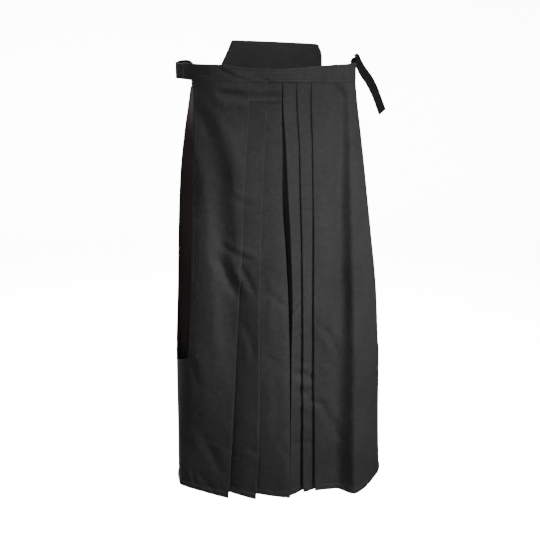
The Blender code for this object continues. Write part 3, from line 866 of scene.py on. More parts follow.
def add_node(tree, kind, place, **settings):
    """Add a node at a place in its tree, with its properties set."""
    node = tree.nodes.new(kind)
    node.location = place
    for key, value in settings.items():
        setattr(node, key, value)
    return node


def noise_node(tree, place, scale, detail, where):
    """Noise over a place or cut that comes in on a socket."""
    node = add_node(tree, "ShaderNodeTexNoise", place)
    node.inputs["Scale"].default_value = scale
    node.inputs["Detail"].default_value = detail
    tree.links.new(where, node.inputs["Vector"])
    return node.outputs["Fac"]


def stretched(tree, place, scale, where):
    """Places scaled by a different amount along each axis."""
    node = add_node(tree, "ShaderNodeMapping", place)
    node.inputs["Scale"].default_value = scale
    tree.links.new(where, node.inputs["Vector"])
    return node.outputs[0]


def range_node(tree, place, value, low, high, to_low=0.0, to_high=1.0):
    """Map a value from one range to another."""
    node = add_node(tree, "ShaderNodeMapRange", place)
    labels = ("From Min", "From Max", "To Min", "To Max")
    for label, limit in zip(labels, (low, high, to_low, to_high)):
        node.inputs[label].default_value = limit
    tree.links.new(value, node.inputs["Value"])
    return node.outputs[0]


def bump_node(tree, place, height, strength, distance):
    """Fine relief from a height."""
    node = add_node(tree, "ShaderNodeBump", place)
    node.inputs["Strength"].default_value = strength
    node.inputs["Distance"].default_value = distance
    tree.links.new(height, node.inputs["Height"])
    return node


def math_node(tree, place, operation, first, second=None):
    """Math node whose inputs are sockets or numbers."""
    node = add_node(tree, "ShaderNodeMath", place, operation=operation)
    for socket, value in zip(node.inputs, (first, second)):
        if value is None:
            continue
        if isinstance(value, (int, float)):
            socket.default_value = value
        else:
            tree.links.new(value, socket)
    return node.outputs[0]


def new_group(name, inputs, outputs):
    """Empty shader group with named inputs and outputs."""
    group = bpy.data.node_groups.new(name, "ShaderNodeTree")
    for label, kind, value in inputs:
        socket = group.interface.new_socket(label, in_out="INPUT", socket_type=kind)
        if value is not None:
            socket.default_value = value
    for label, kind in outputs:
        group.interface.new_socket(label, in_out="OUTPUT", socket_type=kind)
    start = add_node(group, "NodeGroupInput", (-900, 0))
    end = add_node(group, "NodeGroupOutput", (900, 0))
    return group, start, end


def twill_group():
    """Diagonal ribs of a twill weave, broken up by its yarns."""
    if "Twill weave" in bpy.data.node_groups:
        return bpy.data.node_groups["Twill weave"]
    group, start, end = new_group(
        "Twill weave",
        [
            ("Cut", "NodeSocketVector", None),
            ("Pitch", "NodeSocketFloat", 0.0011),
            ("Unevenness", "NodeSocketFloat", 0.5),
        ],
        [("Height", "NodeSocketFloat"), ("Yarn", "NodeSocketFloat")],
    )
    link = group.links.new
    place = add_node(group, "ShaderNodeSeparateXYZ", (-700, 100))
    link(start.outputs["Cut"], place.inputs[0])
    both = math_node(group, (-520, 160), "ADD", place.outputs["X"], place.outputs["Y"])
    turns = math_node(group, (-520, -40), "DIVIDE", 2 * pi, start.outputs["Pitch"])
    drift = noise_node(group, (-700, -220), 60, 1, start.outputs["Cut"])
    phase = math_node(group, (-340, 160), "MULTIPLY", both, turns)
    shift = math_node(group, (-340, -200), "MULTIPLY", drift, 3.0)
    rib = math_node(group, (-160, 160), "SINE", math_node(
        group, (-240, 60), "ADD", phase, shift))
    along = math_node(group, (-340, -60), "MULTIPLY", place.outputs["Y"], turns)
    yarn = math_node(group, (-160, -60), "SINE", along)
    crossed = math_node(group, (20, 60), "MULTIPLY", math_node(
        group, (-60, -60), "MULTIPLY", yarn, rib), 0.35)
    slender = stretched(group, (-520, -420), (1400, 55, 1), start.outputs["Cut"])
    slub = noise_node(group, (-340, -420), 1, 2, slender)
    uneven = math_node(group, (-100, -380), "MULTIPLY", slub, start.outputs["Unevenness"])
    total = math_node(group, (200, 100), "ADD", math_node(
        group, (120, 140), "ADD", rib, crossed), uneven)
    link(total, end.inputs["Height"])
    link(slub, end.inputs["Yarn"])
    return group


def wear_and_fold_highlight_group():
    """Uneven dye, faint lint, and pressed folds: shinier through lower roughness, and paler
    through a painted highlight.
    """
    if "Cloth wear and fold highlight" in bpy.data.node_groups:
        return bpy.data.node_groups["Cloth wear and fold highlight"]
    group, start, end = new_group(
        "Cloth wear and fold highlight",
        [
            ("Colour", "NodeSocketColor", (0.03, 0.03, 0.03, 1)),
            ("Cut", "NodeSocketVector", None),
            ("Yarn", "NodeSocketFloat", 0.5),
            ("Fold", "NodeSocketFloat", 0.0),
            ("Roughness", "NodeSocketFloat", 0.8),
        ],
        [("Colour", "NodeSocketColor"), ("Roughness", "NodeSocketFloat")],
    )
    link = group.links.new
    place = add_node(group, "ShaderNodeTexCoord", (-900, -300)).outputs["Object"]
    cloud = noise_node(group, (-700, -200), 9, 3, place)
    speck = noise_node(group, (-700, -460), 900, 2, place)
    lint = range_node(group, (-500, -460), speck, 0.66, 0.78)
    shade = range_node(group, (-500, -200), cloud, 0.3, 0.7, 0.86, 1.14)
    yarn = range_node(group, (-500, 40), start.outputs["Yarn"], 0, 1, 0.8, 1.2)
    level = math_node(group, (-300, -80), "MULTIPLY", shade, yarn)
    for number, scale in enumerate(((26, 330, 1), (360, 22, 1), (70, 90, 1))):
        high = 320 + 260 * number
        spread = stretched(group, (-700, high), scale, start.outputs["Cut"])
        streak = noise_node(group, (-500, high), 1, 2, spread)
        share = range_node(group, (-300, high), streak, 0.25, 0.75, 0.92, 1.08)
        level = math_node(group, (-120, high), "MULTIPLY", level, share)
    # painted highlight: the pressed folds are made paler, as where their edges catch the light
    pressed = math_node(group, (-300, -260), "MULTIPLY", start.outputs["Fold"], 0.15)
    level = math_node(group, (-120, -80), "ADD", level, pressed)
    level = math_node(group, (40, -80), "ADD", level, math_node(
        group, (-120, -460), "MULTIPLY", lint, 0.5))
    tint = add_node(group, "ShaderNodeVectorMath", (240, 60), operation="SCALE")
    link(start.outputs["Colour"], tint.inputs[0])
    link(level, tint.inputs["Scale"])
    link(tint.outputs[0], end.inputs["Colour"])
    calm = math_node(group, (240, -200), "MULTIPLY", start.outputs["Fold"], -0.16)
    rough = math_node(group, (420, -200), "ADD", start.outputs["Roughness"], calm)
    link(rough, end.inputs["Roughness"])
    return group


def cloth_material(name, colour, pitch, roughness=0.82, bump=0.35):
    """Black twill: soft sheen, diagonal weave, uneven dye, a painted highlight on its pressed
    folds and a wrong side painted lighter.
    """
    material = bpy.data.materials.new(name)
    material.use_nodes = True
    tree = material.node_tree
    link = tree.links.new
    shader = tree.nodes["Principled BSDF"]
    shader.inputs["Sheen Weight"].default_value = 0.02
    shader.inputs["Sheen Roughness"].default_value = 0.5
    shader.inputs["Specular IOR Level"].default_value = 0.12
    cut = add_node(tree, "ShaderNodeUVMap", (-900, 200))
    fold = add_node(tree, "ShaderNodeAttribute", (-900, -160), attribute_name="fold")
    weave = add_node(tree, "ShaderNodeGroup", (-680, 200), node_tree=twill_group())
    weave.inputs["Pitch"].default_value = pitch
    link(cut.outputs[0], weave.inputs["Cut"])
    wear = add_node(tree, "ShaderNodeGroup", (-420, 60), node_tree=wear_and_fold_highlight_group())
    wear.inputs["Roughness"].default_value = roughness
    # Faces marked inside take the inside colour. This is painted light, lighter and warmer than
    # the twill, and partly the wrong side's own tone.
    inside = add_node(tree, "ShaderNodeAttribute", (-900, 420), attribute_name="inside")
    sides = add_node(tree, "ShaderNodeMix", (-640, 420), data_type="RGBA")
    sides.inputs["A"].default_value = (*colour, 1)
    sides.inputs["B"].default_value = (*bpy.context.scene.hakama_colours.inside, 1)
    link(inside.outputs["Fac"], sides.inputs["Factor"])
    link(sides.outputs["Result"], wear.inputs["Colour"])
    link(cut.outputs[0], wear.inputs["Cut"])
    link(weave.outputs["Yarn"], wear.inputs["Yarn"])
    # the fold mark paints a highlight on the pressed folds and lowers their roughness
    link(fold.outputs["Fac"], wear.inputs["Fold"])
    place = add_node(tree, "ShaderNodeTexCoord", (-1100, -420)).outputs["Object"]
    rumple = noise_node(tree, (-900, -420), 75, 3, place)
    soft = bump_node(tree, (-660, -420), rumple, 0.6, 1.6 * MM)
    relief = bump_node(tree, (-420, -220), weave.outputs["Height"], bump, 0.12 * MM)
    link(soft.outputs[0], relief.inputs["Normal"])
    link(wear.outputs["Colour"], shader.inputs["Base Color"])
    link(wear.outputs["Roughness"], shader.inputs["Roughness"])
    link(relief.outputs[0], shader.inputs["Normal"])
    return material


def webbing_material(name, colour):
    """Dense ribbed webbing with slightly shiny yarns."""
    material = bpy.data.materials.new(name)
    material.use_nodes = True
    tree = material.node_tree
    link = tree.links.new
    shader = tree.nodes["Principled BSDF"]
    shader.inputs["Specular IOR Level"].default_value = 0.15
    cut = add_node(tree, "ShaderNodeUVMap", (-1100, 200))
    place = add_node(tree, "ShaderNodeSeparateXYZ", (-900, 200))
    link(cut.outputs[0], place.inputs[0])
    rib = math_node(tree, (-700, 260), "SINE", math_node(
        tree, (-780, 260), "MULTIPLY", place.outputs["X"], 2 * pi / WEBBING_RIB))
    warp = math_node(tree, (-700, 80), "SINE", math_node(
        tree, (-780, 80), "MULTIPLY", place.outputs["Y"], 2 * pi / WEBBING_YARN))
    weave = math_node(tree, (-520, 180), "MULTIPLY", rib, warp)
    height = math_node(tree, (-360, 180), "ADD", weave, rib)
    wear = add_node(tree, "ShaderNodeGroup", (-360, 0), node_tree=wear_and_fold_highlight_group())
    wear.inputs["Colour"].default_value = (*colour, 1)
    wear.inputs["Roughness"].default_value = 0.62
    link(cut.outputs[0], wear.inputs["Cut"])
    link(math_node(tree, (-520, -40), "MULTIPLY", weave, 0.4), wear.inputs["Yarn"])
    relief = bump_node(tree, (-180, -220), height, 0.5, 0.2 * MM)
    link(wear.outputs["Colour"], shader.inputs["Base Color"])
    link(wear.outputs["Roughness"], shader.inputs["Roughness"])
    link(relief.outputs[0], shader.inputs["Normal"])
    return material


def finish_of(kind):
    """Material of one of the garment's finishes, made on first use."""
    if kind in bpy.data.materials:
        return bpy.data.materials[kind]
    scene = bpy.context.scene
    pitch = scene.hakama_cloth.twill_pitch
    colours = scene.hakama_colours
    if kind == "Black twill":
        return cloth_material(kind, colours.twill, pitch)
    if kind == "Board twill":
        return cloth_material(kind, colours.board, pitch, 0.78, 0.3)
    if kind == "Sewing thread":
        return webbing_material(kind, colours.thread)
    return webbing_material(kind, colours.webbing)


# ------------------------------------------------------------- legs

def panel_grid(line_at, side, front, heights):
    """Grid of places of a leg panel, with its folds marked, before any crease."""
    cloth = bpy.context.scene.hakama_cloth
    rows, marks = [], []
    for z in heights:
        pressed = 0.5 + 0.5 * float(ramp((SEAM_Z - z) / 0.03))
        across, depth, fold = line_at(z, side, cloth.layer * pressed)
        settle = row_at(SHELL, z).settle
        x = side * across
        lift = waist_lift(x)
        if front:
            lift = lift - seam_sag(x)
        level = z + lift * settle
        if z == heights[0]:
            level = level + SEWN_IN
        if front:
            dip = hump(x - HEM_DIP_AT, HEM_DIP_REACH) * HEM_DIP
            level = level - dip * ramp((HEM_Z + 0.14 - z) / 0.14)
        else:
            level = level - BACK_BAND_DROP * settle ** 2
        y = -depth if front else depth
        rows.append(np.stack([x, y, level], axis=1))
        marks.append(fold)
    return np.array(rows), np.array(marks)


def settle_folds(places, creases, front, heights, seed):
    """Sink and raise the creases, fading out at the side line and the waist seam."""
    cloth = bpy.context.scene.hakama_cloth
    x, y, z = places[:, :, 0], places[:, :, 1], places[:, :, 2]
    top = np.array(heights)[:, None]
    height = crease_height(creases, x, z)
    height += slack_height(x, z, seed, cloth.slack)
    height *= ramp(np.abs(y) / 0.045) * ramp((heights[0] - top) / 0.02 + 0.05)
    places[:, :, 1] += -height if front else height
    return places


def leg_panel(name, line_at, creases, side, front, seed):
    """Model one pleated leg panel with its stitches."""
    cloth = bpy.context.scene.hakama_cloth
    marks = [HEM_Z + HEM_TURN]
    if front:
        marks.append(PLEAT_STITCH_Z)
    heights = row_heights(SEAM_Z, HEM_Z, marks)
    places, fold = panel_grid(line_at, side, front, heights)
    places = settle_folds(places, creases, front, heights, seed)
    along = cut_length(places)
    up = np.array(heights)[:, None]
    above_hem = up - HEM_Z
    relief = 1.6 * MM * ramp((HEM_TURN - above_hem) / (2.4 * MM) + 0.5)
    relief = relief + pressed_line(above_hem - HEM_TURN - 1.2 * MM, 1.5 * MM, 0.4 * MM)
    relief = relief + puckers(along, above_hem - 6 * MM, seed, 0.42 * MM)
    along = along - along[:, 1:2]
    turned = 0.2 * MM * ramp((EDGE_TURN - along) / (1.6 * MM) + 0.5)
    turned = turned + pressed_line(along - EDGE_TURN - 0.8 * MM, 1.5 * MM, 0.3 * MM)
    relief = relief + turned * ramp((up + 0.62) / 0.02)
    relief = relief + puckers(along, up - SEAM_Z + 3 * MM, seed + 2, 0.12 * MM)
    places = places + outwards(places) * relief[:, :, None]
    cut = np.stack([along - along[:, OUTER_LAST:OUTER_LAST + 1], up + 0 * along], axis=2)
    piece = cloth_grid(name, places, cut, fold)
    thicken(piece, cloth.thickness)
    mark_inside_painted_light(piece)
    smooth(piece)
    stitch_lines(name + "_stitches", leg_stitches(places, heights, 2 if front else 1))
    return piece


def even_walk(points, normals, pitch):
    """Even places along a line, each with its direction and its outward normal."""
    reach = walked(*points.T)
    at = np.arange(pitch, reach[-1] - pitch / 2, pitch)
    centre = np.stack([np.interp(at, reach, column) for column in points.T], axis=1)
    normal = np.stack([np.interp(at, reach, column) for column in normals.T], axis=1)
    ahead = np.stack([np.interp(at + 0.5 * MM, reach, column) for column in points.T], axis=1)
    along = ahead - centre
    along /= np.maximum(np.linalg.norm(along, axis=1, keepdims=True), 1e-9)
    return centre, along, normal


def stitch_lines(name, lines):
    """Join one short arched thread for each stitch along the lines."""
    sewing = bpy.context.scene.hakama_stitches
    thread = sewing.thread
    rings = ((-1, 0.4, -0.9), (-0.75, 0.9, 0.1), (0, 1.0, 0.5), (0.75, 0.9, 0.1), (1, 0.4, -0.9))
    sides = 6
    points, faces = [], []
    for path, normals in lines:
        for centre, along, normal in zip(*even_walk(path, normals, sewing.pitch)):
            across = np.cross(normal, along)
            across /= max(np.linalg.norm(across), 1e-9)
            first = len(points)
            for step, wide, high in rings:
                middle = centre + along * step * sewing.length / 2 + normal * high * thread
                for k in range(sides):
                    turn = 2 * pi * k / sides
                    offset = across * np.cos(turn) + normal * np.sin(turn)
                    points.append(middle + offset * wide * thread)
            for ring in range(len(rings) - 1):
                for k in range(sides):
                    low = first + ring * sides
                    after = (k + 1) % sides
                    faces.append((low + k, low + after, low + sides + after, low + sides + k))
            faces.append(tuple(first + k for k in reversed(range(sides))))
            faces.append(tuple(first + (len(rings) - 1) * sides + k for k in range(sides)))
    mesh = bpy.data.meshes.new(name)
    mesh.from_pydata([tuple(point) for point in points], [], faces)
    mesh.uv_layers.new(name="UVMap")
    piece = bpy.data.objects.new(name, mesh)
    bpy.context.scene.collection.objects.link(piece)
    outward(piece)
    smooth(piece, 60)
    dressed(piece, finish_of("Sewing thread"), None)
    return piece


def leg_stitches(places, heights, folds):
    """Stitched lines of a leg panel: its hem, and its open side edge."""
    cloth = bpy.context.scene.hakama_cloth
    out = outwards(places)
    surface = places + out * cloth.thickness / 2
    row = int(np.argmin(np.abs(np.array(heights) - HEM_Z - HEM_TURN + 2.8 * MM)))
    lines = [(surface[row, 1:OUTER_LAST], out[row, 1:OUTER_LAST])]
    first = OUTER_LAST + 1 + FOLD_COLUMNS
    for _ in range(folds):
        last = first + STRIP_SPANS
        lines.append((surface[row, first:last], out[row, first:last]))
        first = last + FOLD_COLUMNS
    edge, normals = [], []
    for i, z in enumerate(heights):
        if SEAM_Z - 4 * MM > z > SLIT_END_Z:
            reach = walked(*surface[i, 1:12].T)
            at = EDGE_TURN - 2 * MM
            edge.append([np.interp(at, reach, c) for c in surface[i, 1:12].T])
            normals.append([np.interp(at, reach, c) for c in out[i, 1:12].T])
    lines.append((np.array(edge), np.array(normals)))
    return lines


class HAKAMA_OT_front_panels(bpy.types.Operator):
    """Model the two pleated front panels"""

    bl_idname = "hakama.front_panels"
    bl_label = "Front panels"

    def execute(self, context):
        twill = finish_of("Black twill")
        for side, word, flat, area in (
            (-1, "right", (0.64, 0.93), 0.47), (1, "left", (0.56, 0.93), 0.40),
        ):
            name = "front_cloth_" + word
            piece = leg_panel(
                name, front_line, FRONT_CREASES, side, True, 3.0 + side)
            dressed(piece, twill, "twill", "front_panel_" + word)
        return {"FINISHED"}


class HAKAMA_OT_back_panels(bpy.types.Operator):
    """Model the two back panels, each with one deep pleat"""

    bl_idname = "hakama.back_panels"
    bl_label = "Back panels"

    def execute(self, context):
        twill = finish_of("Black twill")
        for side, word, flat, area in (
            (-1, "right", (0.45, 0.88), 0.30), (1, "left", (0.48, 0.88), 0.31),
        ):
            name = "back_cloth_" + word
            piece = leg_panel(
                name, back_line, BACK_CREASES, side, False, 9.0 + side)
            dressed(piece, twill, "twill", "back_panel_" + word)
        return {"FINISHED"}


class HAKAMA_OT_inner_legs(bpy.types.Operator):
    """Model the two walls that make each leg a tube below the crotch"""

    bl_idname = "hakama.inner_legs"
    bl_label = "Inner legs"

    def execute(self, context):
        cloth = context.scene.hakama_cloth
        twill = finish_of("Black twill")
        heights = row_heights(CROTCH_Z, HEM_Z, [HEM_Z + HEM_TURN])
        clear = 1.5 * cloth.thickness + 4 * cloth.seam_gap + 0.4 * MM
        for side, word in ((-1, "right"), (1, "left")):
            rows = []
            for z in heights:
                middle = row_at(FRONT_MIDDLE, z).x * MM
                front = -front_line(z, side, cloth.layer)[1][-2] + clear
                back = back_line(z, side, cloth.layer)[1][-2] - clear
                opened = min((CROTCH_Z - z) / 0.06, 1.0)
                t = spaced(0, 1, 60)
                y = front + (back - front) * t
                wave = 1.5 * np.sin(3 * pi * t + z * 9) * np.sin(pi * t)
                spread = 0.75 * MM + opened * (2 + 14 * np.sin(pi * t) + wave) * MM
                x = middle * (1 - t) + side * spread
                rows.append(np.stack([x, y, np.full_like(x, z)], axis=1))
            places = np.array(rows)
            along = cut_length(places)
            up = np.array(heights)[:, None]
            relief = pressed_line(up - HEM_Z - HEM_TURN, 1.6 * MM, 0.5 * MM)
            places = push_out(places, relief + 0 * along)
            cut = np.stack([along, up + 0 * along], axis=2)
            piece = cloth_grid("inner_cloth_" + word, places, cut)
            thicken(piece, cloth.thickness)
            smooth(piece)
            dressed(piece, twill, "twill", "inner_leg_" + word)
        return {"FINISHED"}


# ------------------------------------------------------------- waist

def plan_walk(points, step):
    """Evenly spaced places along a plan line, with the sideways normal of each."""
    points = np.array(points)
    reach = walked(*points.T)
    count = max(int(round(reach[-1] / step)), 8)
    at = spaced(0, reach[-1], count)
    x = np.interp(at, reach, points[:, 0])
    y = np.interp(at, reach, points[:, 1])
    tangent = np.stack([np.gradient(x, at), np.gradient(y, at)], axis=1)
    tangent /= np.linalg.norm(tangent, axis=1, keepdims=True)
    normal = np.stack([tangent[:, 1], -tangent[:, 0]], axis=1)
    return at, np.stack([x, y], axis=1), normal


def waist_depth(x, front):
    """Depth of the cloth at the waist seam."""
    half = np.where(x < 0, SHELL[0].half_r, SHELL[0].half_l) * MM
    if front:
        return round_depth(x, half, SHELL[0].front_r * MM, FRONT_ROUND)
    return round_depth(x, half, SHELL[0].back * MM, BACK_ROUND)


def waist_walk(start, end, front, step=2.5 * MM):
    """Places along the waist seam from start to end, and normals that point out."""
    x = start + (end - start) * (1 - np.cos(spaced(0, pi, 400))) / 2
    sign = -1 if front else 1
    at, plan, normal = plan_walk(np.stack([x, sign * waist_depth(x, front)], axis=1), step)
    return at, plan, normal * (1 if front else -1)


def strip_ring(height, thickness, spans, foot=0.6 * MM):
    """Section of a folded strip: round at its upper fold, nearly square at its foot."""
    radius = thickness / 2
    turn = spaced(0, pi, 8)
    corner = spaced(0, pi / 2, 3)
    outer = spaced(foot, height - radius, spans)
    inner = radius - foot
    up = np.concatenate([
        outer[:-1], height - radius + radius * np.sin(turn), outer[::-1][1:],
        foot - foot * np.sin(corner)[1:], foot - foot * np.cos(corner),
    ])
    through = np.concatenate([
        np.full(spans, radius), radius * np.cos(turn), np.full(spans, -radius),
        -inner - foot * np.cos(corner)[1:], inner + foot * np.sin(corner),
    ])
    return up, through


def strip_piece(name, at, plan, normal, low, high, thickness, inset, relief, stitched):
    """Loft a folded strip of cloth along a plan line, with rounded edges and ends."""
    rings, cuts = [], []
    last = at[-1]
    for i, (place, out) in enumerate(zip(plan, normal)):
        edge = min(at[i], last - at[i])
        slim = end_round(edge, thickness / 2, 0.0025)
        up, through = strip_ring(high[i] - low[i], thickness, 18)
        through = through * slim
        through = through + np.where(through > 0, relief(at[i], plan[i], low[i] + up, up), 0)
        shift = inset + through
        ring = np.stack([
            place[0] + out[0] * shift, place[1] + out[1] * shift, low[i] + up,
        ], axis=1)
        rings.append(ring)
        cuts.append(np.stack([np.full(len(up), at[i]), walked(up, through)], axis=1))
    rings = np.array(rings)
    piece = cloth_grid(name, rings, np.array(cuts))
    outward(piece)
    smooth(piece, 60)
    face = np.column_stack([normal, np.zeros(len(normal))])
    lines = [(rings[2:-2, column], face[2:-2]) for column in stitched]
    stitch_lines(name + "_stitches", lines)
    return piece


def band_relief(height, seed, wrinkles):
    """Relief of a waistband's face: stitched lines, drag wrinkles and gathers."""
    def relief(at, place, z, up):
        total = pressed_line(up - 3.5 * MM, 1.3 * MM, 0.45 * MM)
        total = total + pressed_line(up - height + 6 * MM, 1.3 * MM, 0.4 * MM)
        total = total + crease_height(wrinkles, np.full_like(z, place[0]), z)
        total = total + puckers(at, up - 2 * MM, seed, 0.12 * MM)
        total = total + puckers(at, up - height + 4 * MM, seed + 1, 0.08 * MM)
        wave = noise.noise(Vector((at / 0.03, seed, 0)))
        ripple = noise.noise(Vector((at / 0.011, seed, 3)))
        return total + (wave * 0.5 + ripple * 0.2) * MM * np.sin(pi * up / height)
    return relief


BAND_WRINKLES = [
    Crease(((-126, 12), (-112, 2), (-92, -8)), 5, -1.3),
    Crease(((-117, 14), (-102, 6), (-84, 0)), 4, 1.1),
    Crease(((-92, 0), (-76, -4), (-60, -6)), 4, 0.9),
    Crease(((-156, 2), (-144, -6), (-136, -14)), 4, -0.8),
    Crease(((-58, -2), (-42, -8), (-26, -14)), 4, -0.8),
    Crease(((-36, -6), (-22, -11), (-8, -14)), 3, 0.8),
    Crease(((20, -2), (44, -6), (72, -5)), 4, -0.5),
    Crease(((96, -14), (112, -10), (124, -4)), 4, 0.7),
    Crease(((134, -32), (133, -10), (132, 12)), 1.6, -1.3),
    Crease(((129, -32), (128, -10), (127, 12)), 2.2, 0.6),
]


class HAKAMA_OT_waistbands(bpy.types.Operator):
    """Model the doubled bands that hold the front and back pleats"""

    bl_idname = "hakama.waistbands"
    bl_label = "Waistbands"

    def execute(self, context):
        twill = finish_of("Black twill")
        at, plan, normal = waist_walk(FRONT_BAND_RIGHT_END, FRONT_BAND_LEFT_END, True)
        low = SEAM_Z - seam_sag(plan[:, 0]) + waist_lift(plan[:, 0])
        high = np.array([smooth_between(FRONT_BAND_TOP, x / MM) * MM for x in plan[:, 0]])
        piece = strip_piece(
            "front_band_cloth", at, plan, normal, low, high, BAND_THICKNESS,
            BAND_PROUD - BAND_THICKNESS / 2, band_relief(28 * MM, 1.3, BAND_WRINKLES), (2, 14))
        dressed(piece, twill, "twill", "front_waistband")

        at, plan, normal = waist_walk(-BACK_BAND_END, BACK_BAND_END, False)
        low = SEAM_Z - BACK_BAND_DROP + waist_lift(plan[:, 0])
        piece = strip_piece(
            "back_band_cloth", at, plan, normal, low, low + BACK_BAND_HEIGHT, BAND_THICKNESS,
            BAND_PROUD - BAND_THICKNESS / 2, band_relief(BACK_BAND_HEIGHT, 4.1, []), (2, 14))
        dressed(piece, twill, "twill", "back_waistband")
        return {"FINISHED"}


class HAKAMA_OT_back_board(bpy.types.Operator):
    """Model the stiff board that stands up behind the waist"""

    bl_idname = "hakama.back_board"
    bl_label = "Back board"

    def execute(self, context):
        cloth = context.scene.hakama_cloth
        outside = BAND_THICKNESS - BAND_PROUD + cloth.seam_gap
        radius = BOARD_THICKNESS / 2
        rise = 4 * cloth.seam_gap
        height = BOARD_ROWS[-1].up * MM
        ups = np.concatenate([
            radius - radius * np.cos(spaced(0, pi / 2, 5)),
            spaced(radius, height - radius, 34)[1:-1],
            height - radius + radius * np.sin(spaced(0, pi / 2, 5)),
        ])
        rings, cuts = [], []
        for up in ups:
            edge = min(up, height - up)
            slim = end_round(edge, radius, 0.002)
            sides = [
                np.interp(up / MM, [r.up for r in BOARD_ROWS], column) * MM
                for column in ([r.right for r in BOARD_ROWS], [r.left for r in BOARD_ROWS])
            ]
            inset = radius * (1 - slim)
            below = max(1 - (height - up) / BOARD_CORNER, 0)
            corner = BOARD_CORNER * (1 - np.sqrt(max(1 - below ** 2, 0)))
            right, left = sides[0] + inset + corner, sides[1] - inset - corner * 0.5
            face = spaced(right + radius * slim, left - radius * slim, 60)
            turn = spaced(0, pi, 6)
            x = np.concatenate([
                face, left - radius * slim + radius * slim * np.sin(turn)[1:-1],
                face[::-1], right + radius * slim - radius * slim * np.sin(turn)[1:-1],
                face[:1],
            ])
            through = np.concatenate([
                np.full(61, 1.0), np.cos(turn)[1:-1], np.full(61, -1.0),
                -np.cos(turn)[1:-1], [1.0],
            ]) * radius * slim
            slope_half = np.where(x < 0, SHELL[0].half_r, SHELL[0].half_l) * MM
            depth = round_depth(x, slope_half, SHELL[0].back * MM, BACK_ROUND)
            y = depth - outside - radius + through
            skew = 1 + BOARD_SKEW * up / height
            z = SEAM_Z - BACK_BAND_DROP + waist_lift(x) * skew + rise + up
            rings.append(np.stack([x, y, z], axis=1))
            cuts.append(np.stack([walked(x, y), np.full(len(x), up)], axis=1))
        piece = cloth_grid("back_board_cloth", np.array(rings), np.array(cuts))
        outward(piece)
        smooth(piece, 60)
        dressed(piece, finish_of("Board twill"), "board_twill", "back_board")
        return {"FINISHED"}


# ------------------------------------------------------------- webbing

def curve_through(points, step):
    """Even places on a smooth curve through a route's own points."""
    points = np.array(points, dtype=float)
    ends = np.vstack([2 * points[0] - points[1], points, 2 * points[-1] - points[-2]])
    fine = []
    for i in range(len(points) - 1):
        a, b, c, d = ends[i:i + 4]
        for t in spaced(0, 1, 24)[:-1]:
            fine.append(0.5 * (
                2 * b + (c - a) * t + (2 * a - 5 * b + 4 * c - d) * t ** 2
                + (3 * b - a - 3 * c + d) * t ** 3))
    fine.append(points[-1])
    fine = np.array(fine)
    reach = walked(*fine[:, :3].T)
    at = spaced(0, reach[-1], max(int(reach[-1] / step), 8))
    return at, np.stack([np.interp(at, reach, column) for column in fine.T], axis=1)


def webbing_piece(name, at, middle, wide):
    """Loft a flat webbing with raised, rounded edges along its middle line."""
    along = np.gradient(middle, axis=0)
    out = np.cross(along, wide)
    out /= np.linalg.norm(out, axis=1, keepdims=True)
    half, thin = WEBBING_WIDTH / 2, WEBBING_THICKNESS / 2
    turn = spaced(0, pi, 6)
    flat = spaced(-half + thin, half - thin, 20)
    swell = 1 + 0.16 * np.exp(-((half - np.abs(flat)) / (1.6 * MM) - 1.2) ** 2)
    places_w = np.concatenate([
        flat, half - thin + thin * np.sin(turn)[1:-1], flat[::-1],
        -half + thin - thin * np.sin(turn)[1:-1], flat[:1],
    ])
    places_t = np.concatenate([
        swell * 0.94, np.cos(turn)[1:-1], -swell[::-1] * 0.94, -np.cos(turn)[1:-1],
        swell[:1] * 0.94,
    ]) * thin
    rings, cuts = [], []
    round_walk = walked(places_w, places_t)
    for i in range(len(at)):
        edge = min(at[i], at[-1] - at[i])
        slim = end_round(edge, thin, 0.01)
        rings.append(
            middle[i] + wide[i] * places_w[:, None] + out[i] * places_t[:, None] * slim)
        cuts.append(np.stack([np.full(len(places_w), at[i]), round_walk], axis=1))
    piece = cloth_grid(name, np.array(rings), np.array(cuts))
    outward(piece)
    smooth(piece, 60)
    return piece


def belt_route(route):
    """Plan points of a side belt, flat inside the waistbands at its ends."""
    points = []
    for stop in route:
        x = stop.x * MM
        if stop.y in (FRONT, BACK):
            front = stop.y == FRONT
            step = 1 * MM
            slope = (waist_depth(x + step, front) - waist_depth(x - step, front)) / (2 * step)
            inward = BAND_THICKNESS - BAND_PROUD + BELT_GAP + WEBBING_THICKNESS / 2
            length = np.hypot(1, slope)
            y = waist_depth(x, front) - inward / length
            x = x + inward * slope / length
            y = -y if front else y
        else:
            y = stop.y * MM
        points.append((float(x), float(y), stop.z * MM))
    return points


class HAKAMA_OT_side_belts(bpy.types.Operator):
    """Model the webbing that joins the two waistbands round each side"""

    bl_idname = "hakama.side_belts"
    bl_label = "Side belts"

    def execute(self, context):
        webbing = finish_of("Black webbing")
        for word, route, length in (
            ("right", RIGHT_BELT_ROUTE, 0.22), ("left", LEFT_BELT_ROUTE, 0.16),
        ):
            at, middle = curve_through(belt_route(route), 2.5 * MM)
            wide = np.tile((0.0, 0.0, 1.0), (len(at), 1))
            piece = webbing_piece("side_webbing_" + word, at, middle, wide)
            dressed(piece, webbing, "webbing", "side_belt_" + word)
        return {"FINISHED"}


